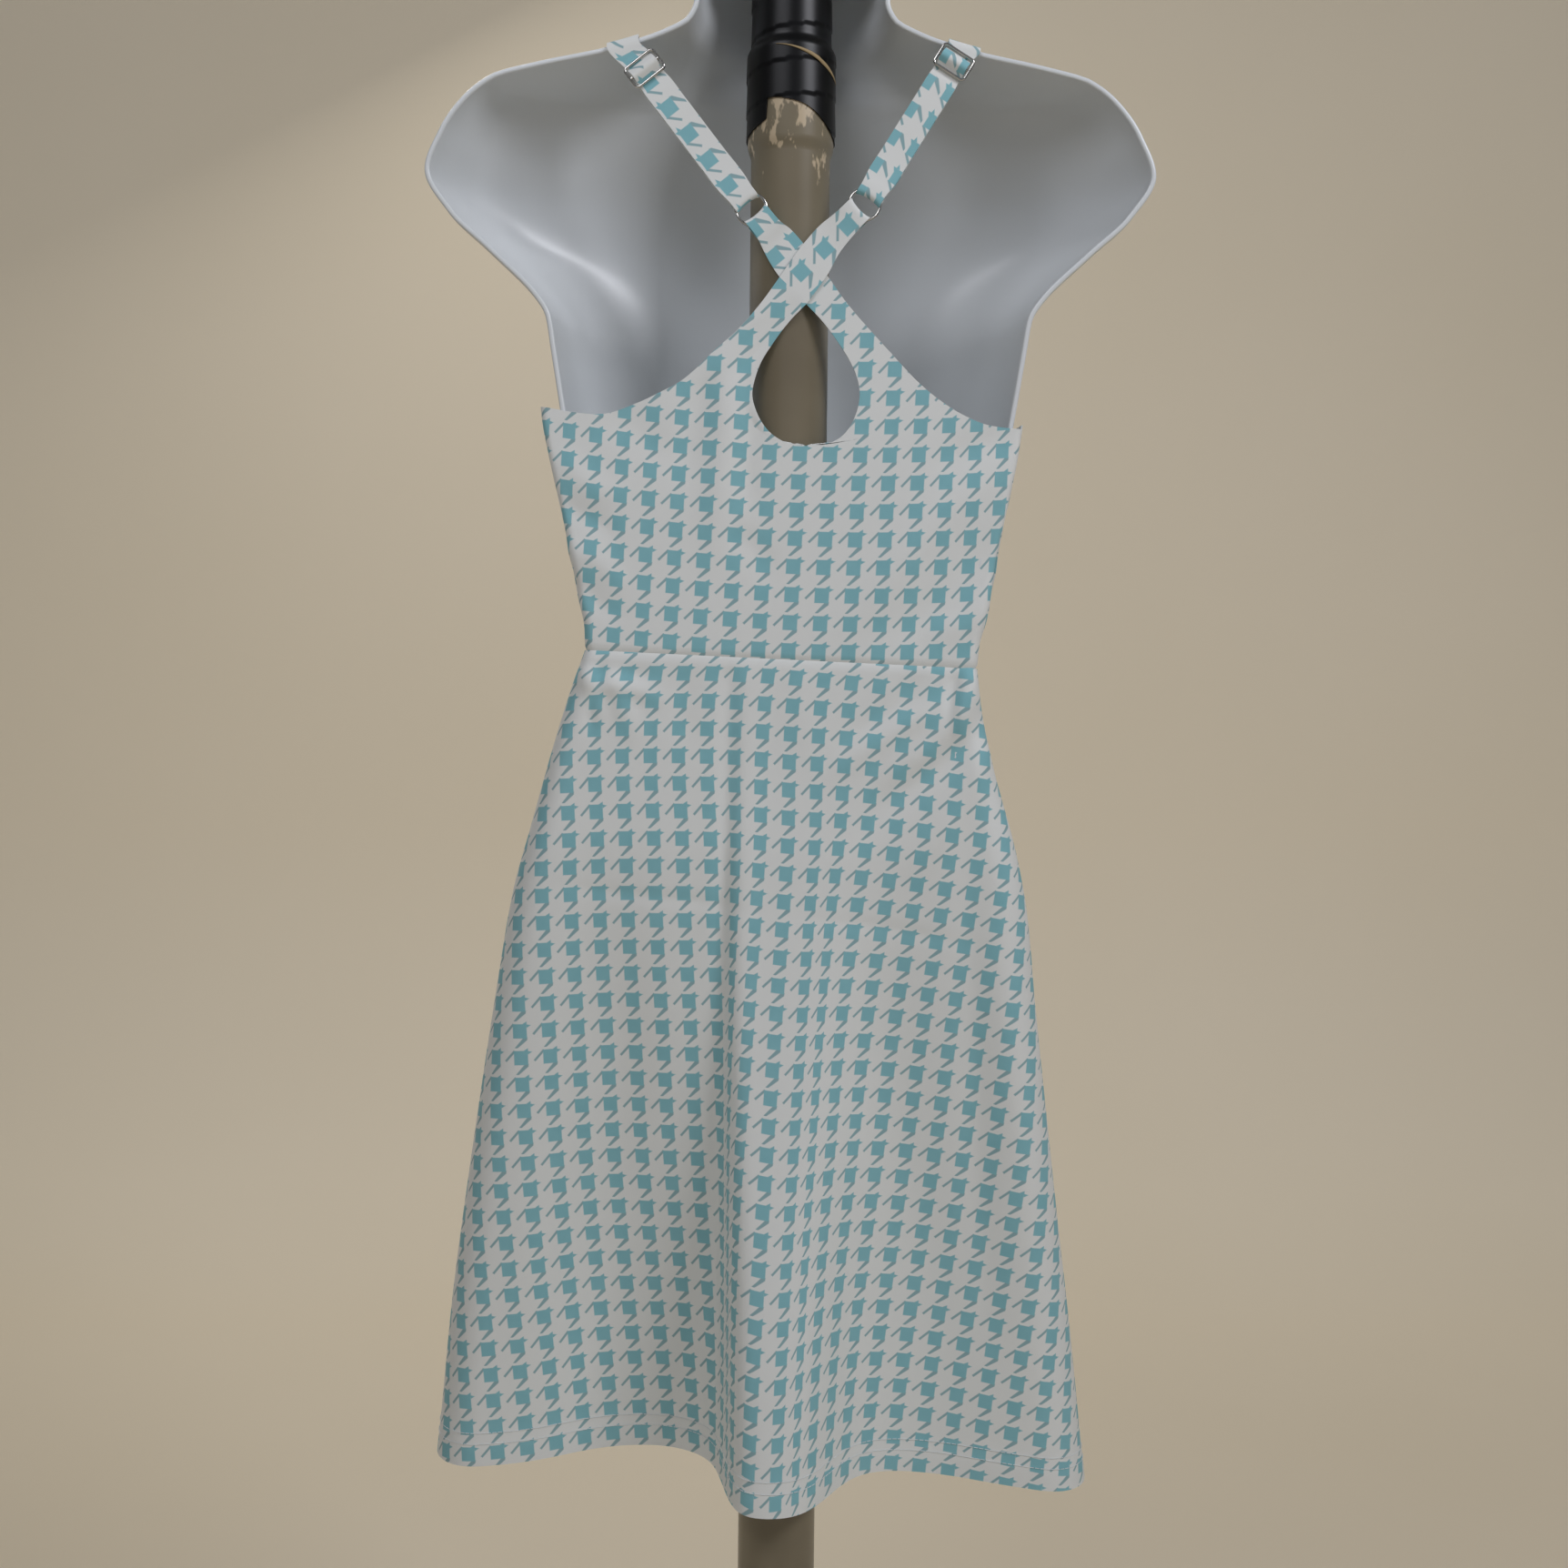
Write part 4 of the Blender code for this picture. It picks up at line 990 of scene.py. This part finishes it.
def lathe(name, profile, node, made_of, segments=96, shape=None):
    """A turned solid from (radius, height) in metres; shape may move each point by its angle."""
    vertices, faces = [], []
    for radius, height in profile:
        for step in range(segments):
            turn = 2 * math.pi * step / segments
            r, z = shape(turn, radius, height) if shape else (radius, height)
            vertices.append((r * math.sin(turn), -r * math.cos(turn), z))
    rows = len(profile)
    for row in range(rows - 1):
        for step in range(segments):
            after = (step + 1) % segments
            a, b = row * segments, (row + 1) * segments
            faces.append((a + step, b + step, b + after, a + after))
    if profile[0] != profile[-1]:
        faces.append(tuple(range(segments)))
        faces.append(tuple(reversed(range((rows - 1) * segments, rows * segments))))
    mesh = bpy.data.meshes.new(name)
    mesh.from_pydata(vertices, [], faces)
    mesh_edit = bmesh.new()
    mesh_edit.from_mesh(mesh)
    if profile[0] == profile[-1]:
        bmesh.ops.remove_doubles(mesh_edit, verts=mesh_edit.verts, dist=1e-6)
    bmesh.ops.recalc_face_normals(mesh_edit, faces=mesh_edit.faces)
    mesh_edit.to_mesh(mesh)
    mesh_edit.free()
    mesh.materials.append(made_of)
    mesh.shade_smooth()
    mesh.set_sharp_from_angle(angle=math.radians(35))
    made = add_object(name, mesh)
    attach(made, "root")
    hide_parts(node)


def form_shell():
    """The hollow front of a torso, its rim rounded over."""
    rises = np.concatenate([np.linspace(-80, 190, 60), np.linspace(193, 330, 60), np.linspace(332, 396, 30)])
    angle = np.linspace(0, math.pi, 120)
    points = []
    for rise in rises:
        x, y = form_point(angle, rise)
        points.append(place(x, y, rise))
    points = np.array(points)
    mesh = bpy.data.meshes.new("form_surface")
    mesh.from_pydata(points.reshape(-1, 3).tolist(), [], grid_faces(*points.shape[:2]).tolist())
    raw = add_object("form_surface", mesh)
    wall = raw.modifiers.new("Wall", "SOLIDIFY")
    wall.thickness = 0.003
    wall.offset = -1 if surface_normals(points)[75, 60, 1] > 0 else 1
    wall.use_quality_normals = True
    round_edges(raw, 0.0011, 60)
    solid = settle(raw, "form_shell_plastic", plastic, 40)
    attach(solid, "root")
    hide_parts("form_shell")


def neck_cap():
    outline = np.stack(form_point(np.linspace(0, math.pi, 60), 396.0), axis=-1)
    low, high = WAIST_Z + 0.3966, WAIST_Z + 0.4026
    mesh_edit = bmesh.new()
    corners = [mesh_edit.verts.new((x * MM, RIM_Y + y * MM, low)) for x, y in outline]
    face = mesh_edit.faces.new(corners)
    grown = bmesh.ops.extrude_face_region(mesh_edit, geom=[face])
    upper = [part for part in grown["geom"] if isinstance(part, bmesh.types.BMVert)]
    bmesh.ops.translate(mesh_edit, verts=upper, vec=(0, 0, high - low))
    bmesh.ops.recalc_face_normals(mesh_edit, faces=mesh_edit.faces)
    mesh = bpy.data.meshes.new("neck_cap_raw")
    mesh_edit.to_mesh(mesh)
    mesh_edit.free()
    raw = add_object("neck_cap_raw", mesh)
    round_edges(raw, 0.001, 50)
    solid = settle(raw, "neck_cap_plastic", plastic, 40)
    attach(solid, "root")
    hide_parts("neck_cap")


def wire_loop(name, points, centre, turn, node, bar=None):
    curve = bpy.data.curves.new(name, "CURVE")
    curve.dimensions = "3D"
    curve.bevel_depth = WIRE_RADIUS * MM
    curve.bevel_resolution = 4
    for line, closed in ((points, True), (bar, False)):
        if line is None:
            continue
        spline = curve.splines.new("POLY")
        spline.points.add(len(line) - 1)
        for point, (x, z) in zip(spline.points, line):
            point.co = (x * MM, 0, z * MM, 1)
        spline.use_cyclic_u = closed
    made = add_object(name + "_wire", curve)
    made.location = Vector(place(*centre))
    made.rotation_euler = Euler((0, -turn, 0))
    solid = settle(made, name, metal, 60)
    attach(solid, "root")
    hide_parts(node)


def ring_and_slider(name, ring, side):
    turns = np.linspace(0, 2 * math.pi, 65)[:-1]
    circle = [(RING_RADIUS * math.cos(turn), RING_RADIUS * math.sin(turn)) for turn in turns]
    wire_loop(f"ring_{name}_wire", circle, (ring[0], RING_Y, ring[1]), 0, f"ring_{name}")
    crest, up = strap_line(ring, side)
    centre = crest - up * SLIDER_FROM_CREST[side]
    corners = []
    for x_sign, z_sign, first in ((1, 1, 0), (-1, 1, 90), (-1, -1, 180), (1, -1, 270)):
        for turn in np.linspace(0, 90, 7):
            at = math.radians(first + turn)
            x = x_sign * (SLIDER_HALF_WIDTH - SLIDER_CORNER) + SLIDER_CORNER * math.cos(at)
            z = z_sign * (SLIDER_HALF_LENGTH - SLIDER_CORNER) + SLIDER_CORNER * math.sin(at)
            corners.append((x, z))
    bar = [(-SLIDER_HALF_WIDTH, 0), (SLIDER_HALF_WIDTH, 0)]
    turn = math.atan2(-up[0], up[1])
    wire_loop(f"slider_{name}_wire", corners, (centre[0], SLIDER_Y, centre[1]), turn, f"slider_{name}", bar)


def stand():
    """The base plate, the pole with its coupling, and the tape wound over the coupling's top."""
    plate, boss, floor = 0.175, 0.034, 0.006
    pole, coupling, upper = 0.0225, 0.0244, 0.0219
    low, high, top = WAIST_Z + 0.283, WAIST_Z + 0.341, WAIST_Z + 0.3963
    base = [(0.0001, floor), (0.0229, floor), (0.0229, 0.0515), (0.0234, 0.052)]
    base += [(boss - 0.0015, 0.052), (boss - 0.0004, 0.0515), (boss, 0.0505), (boss, 0.018)]
    base += [(boss + 0.0015, 0.013), (boss + 0.006, 0.0102), (plate - 0.003, 0.0099), (plate - 0.001, 0.0092)]
    base += [(plate, 0.0075), (plate, 0.001), (plate - 0.0008, 0.0), (0.0001, 0.0), (0.0001, floor)]
    lathe("base_plate_steel", base, "base_plate", base_paint, 128)
    shoulder = []
    for part in np.linspace(0, 1, 7):
        shoulder.append((pole + (coupling - pole) * float(ease_between(part, 0, 1)), low + 0.008 * part))
    profile = [(0.0001, floor + 0.0003), (pole, floor + 0.0003), *shoulder]
    profile += [(coupling, high - 0.0006), (coupling - 0.0006, high)]
    profile += [(upper, high + 0.002), (upper, top), (0.0001, top)]
    lathe("pole_pipe", profile, "pole", pipe, 96)
    tape_low, tape_high = WAIST_Z + 0.293, WAIST_Z + 0.390
    heights = np.linspace(0, 1, 90)
    outer = [(t, tape_low + (tape_high - tape_low) * t) for t in heights]
    lower_edge = [293, 294, 300, 311, 308, 293, 293]

    def wound(turn, mark, height):
        """The tape's outer face: each turn laps the one below, and its lower edge is cut off unevenly."""
        from_back = (turn + math.pi) % (2 * math.pi) - math.pi
        cut = smooth_line([-math.pi, -1.6, -0.56, -0.55, 0.2, 1.5, math.pi], lower_edge, from_back)
        z = max(height, WAIST_Z + float(cut) * MM)
        step = float(ease_between(z, high - 0.001, high + 0.006))
        under = coupling * (1 - step) + upper * step
        lap = ((z - WAIST_Z) / 0.0195 - turn / (2 * math.pi)) % 1.0
        return under + (0.0011 - 0.0005 * lap if mark >= 0 else 0.0003), z

    profile = outer + [(-1, h) for _, h in outer[::-1]]
    profile.append(profile[0])
    lathe("pole_tape_wound", profile, "pole_tape", tape, 160, wound)
    strip = []
    for part in np.linspace(0, 1, 24):
        turn = -0.35 + 1.75 * part
        z = WAIST_Z + 0.3395 - 0.0145 * part**1.4
        half = 0.0011 * math.sin(math.pi * part**1.5) + 0.0001
        radius = max(wound(turn, 1, z + dz)[0] for dz in (-half, 0, half)) + 0.0002
        strip.append([(radius * math.sin(turn), -radius * math.cos(turn), z + dz) for dz in (-half, half)])
    mesh = bpy.data.meshes.new("tape_edge")
    vertices = [point for row in strip for point in row]
    quads = [(2 * i, 2 * i + 1, 2 * i + 3, 2 * i + 2) for i in range(len(strip) - 1)]
    mesh.from_pydata(vertices, [], quads)
    mesh.materials.append(glue)
    mesh.shade_smooth()
    edge = add_object("tape_edge", mesh)
    wall = edge.modifiers.new("Wall", "SOLIDIFY")
    wall.thickness = 0.0002
    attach(edge, "root")


def area_light(name, location, target, size, power, colour="#FFFFFF"):
    light = bpy.data.lights.new(name, "AREA")
    light.shape = "RECTANGLE"
    light.size, light.size_y = size
    light.energy = power
    light.color = linear(colour)[:3]
    lamp = add_object(name, light)
    lamp.location = location
    lamp.rotation_euler = (Vector(target) - Vector(location)).to_track_quat("-Z", "Y").to_euler()


def backdrop():
    """A floor that sweeps up into a backdrop, far enough off for the object to be seen from every side."""
    far, curve, near, high, half_width, under_base = 2.5, 0.8, -4.0, 4.5, 4.5, 0.0005
    turns = np.linspace(0, math.pi / 2, 25)
    profile = [(near, 0.0)]
    profile += [(far - curve + curve * math.sin(turn), curve - curve * math.cos(turn)) for turn in turns]
    profile.append((far, high))
    mesh_edit = bmesh.new()
    rows = []
    for y, z in profile:
        rows.append([mesh_edit.verts.new((x, y, z - under_base)) for x in (-half_width, half_width)])
    for low, above in zip(rows, rows[1:]):
        mesh_edit.faces.new((low[0], low[1], above[1], above[0])).smooth = True
    mesh = bpy.data.meshes.new("backdrop")
    mesh_edit.to_mesh(mesh)
    mesh_edit.free()
    mesh.materials.append(paint)
    add_object("backdrop", mesh)


def room():
    """The backdrop, soft lights and the camera at the photograph's place."""
    backdrop()
    area_light("ceiling_panel_left", (-0.8, -1.5, 2.6), (0, 0, 1.0), (1.2, 0.6), 12.5, "#F7F8FF")
    area_light("ceiling_panel_right", (1.5, -1.3, 2.5), (0, 0.1, 1.0), (0.9, 0.5), 24, "#F7F8FF")
    area_light("shop_window", (0.3, -3.0, 1.8), (0, 0, 1.25), (3.0, 1.4), 3.5, "#E4ECFF")
    area_light("front_fill", (-1.0, 1.7, 3.0), (0, 0, 1.0), (1.2, 0.8), 16, "#FFFAF2")
    world = bpy.data.worlds.new("room_light")
    bpy.context.scene.world = world
    world.use_nodes = True
    background = world.node_tree.nodes["Background"]
    background.inputs[0].default_value = linear("#E6E8EC")
    background.inputs[1].default_value = 0.13
    lens = bpy.data.cameras.new("camera")
    lens.sensor_width = 36.0
    lens.lens = 36.1
    lens.clip_start = 0.05
    camera = add_object("camera", lens)
    pitch, roll = math.radians(2.4), math.radians(0.6)
    look = Matrix.Rotation(math.pi / 2 - pitch, 4, "X") @ Matrix.Rotation(roll, 4, "Z")
    camera.matrix_world = Matrix.Translation((0, -0.9095, 1.015)) @ look
    bpy.context.scene.camera = camera
    bpy.context.scene.view_settings.view_transform = "Standard"


form_shell()
neck_cap()
stand()
for side_name, side, ring_place in (("left", -1, LEFT_RING), ("right", 1, RIGHT_RING)):
    ring_and_slider(side_name, ring_place, side)
back_cloth = bodice_back()
front_cloth = bodice_front()
back_grid = skirt_grid(True, 170, 150)
front_grid = skirt_grid(False, 130, 120)
skirt_back_cloth = cloth_object("skirt_back_cloth", "skirt_back", [back_grid], knit)
skirt_front_cloth = cloth_object("skirt_front_cloth", "skirt_front", [front_grid], knit)
hem_stitches("hem_stitches_back_", back_grid, (0, -1, 0))
hem_stitches("hem_stitches_front_", front_grid, (0, 1, 0))
strap_left_cloth = shoulder_strap("strap_left", LEFT_RING, -1)
strap_right_cloth = shoulder_strap("strap_right", RIGHT_RING, 1)
room()
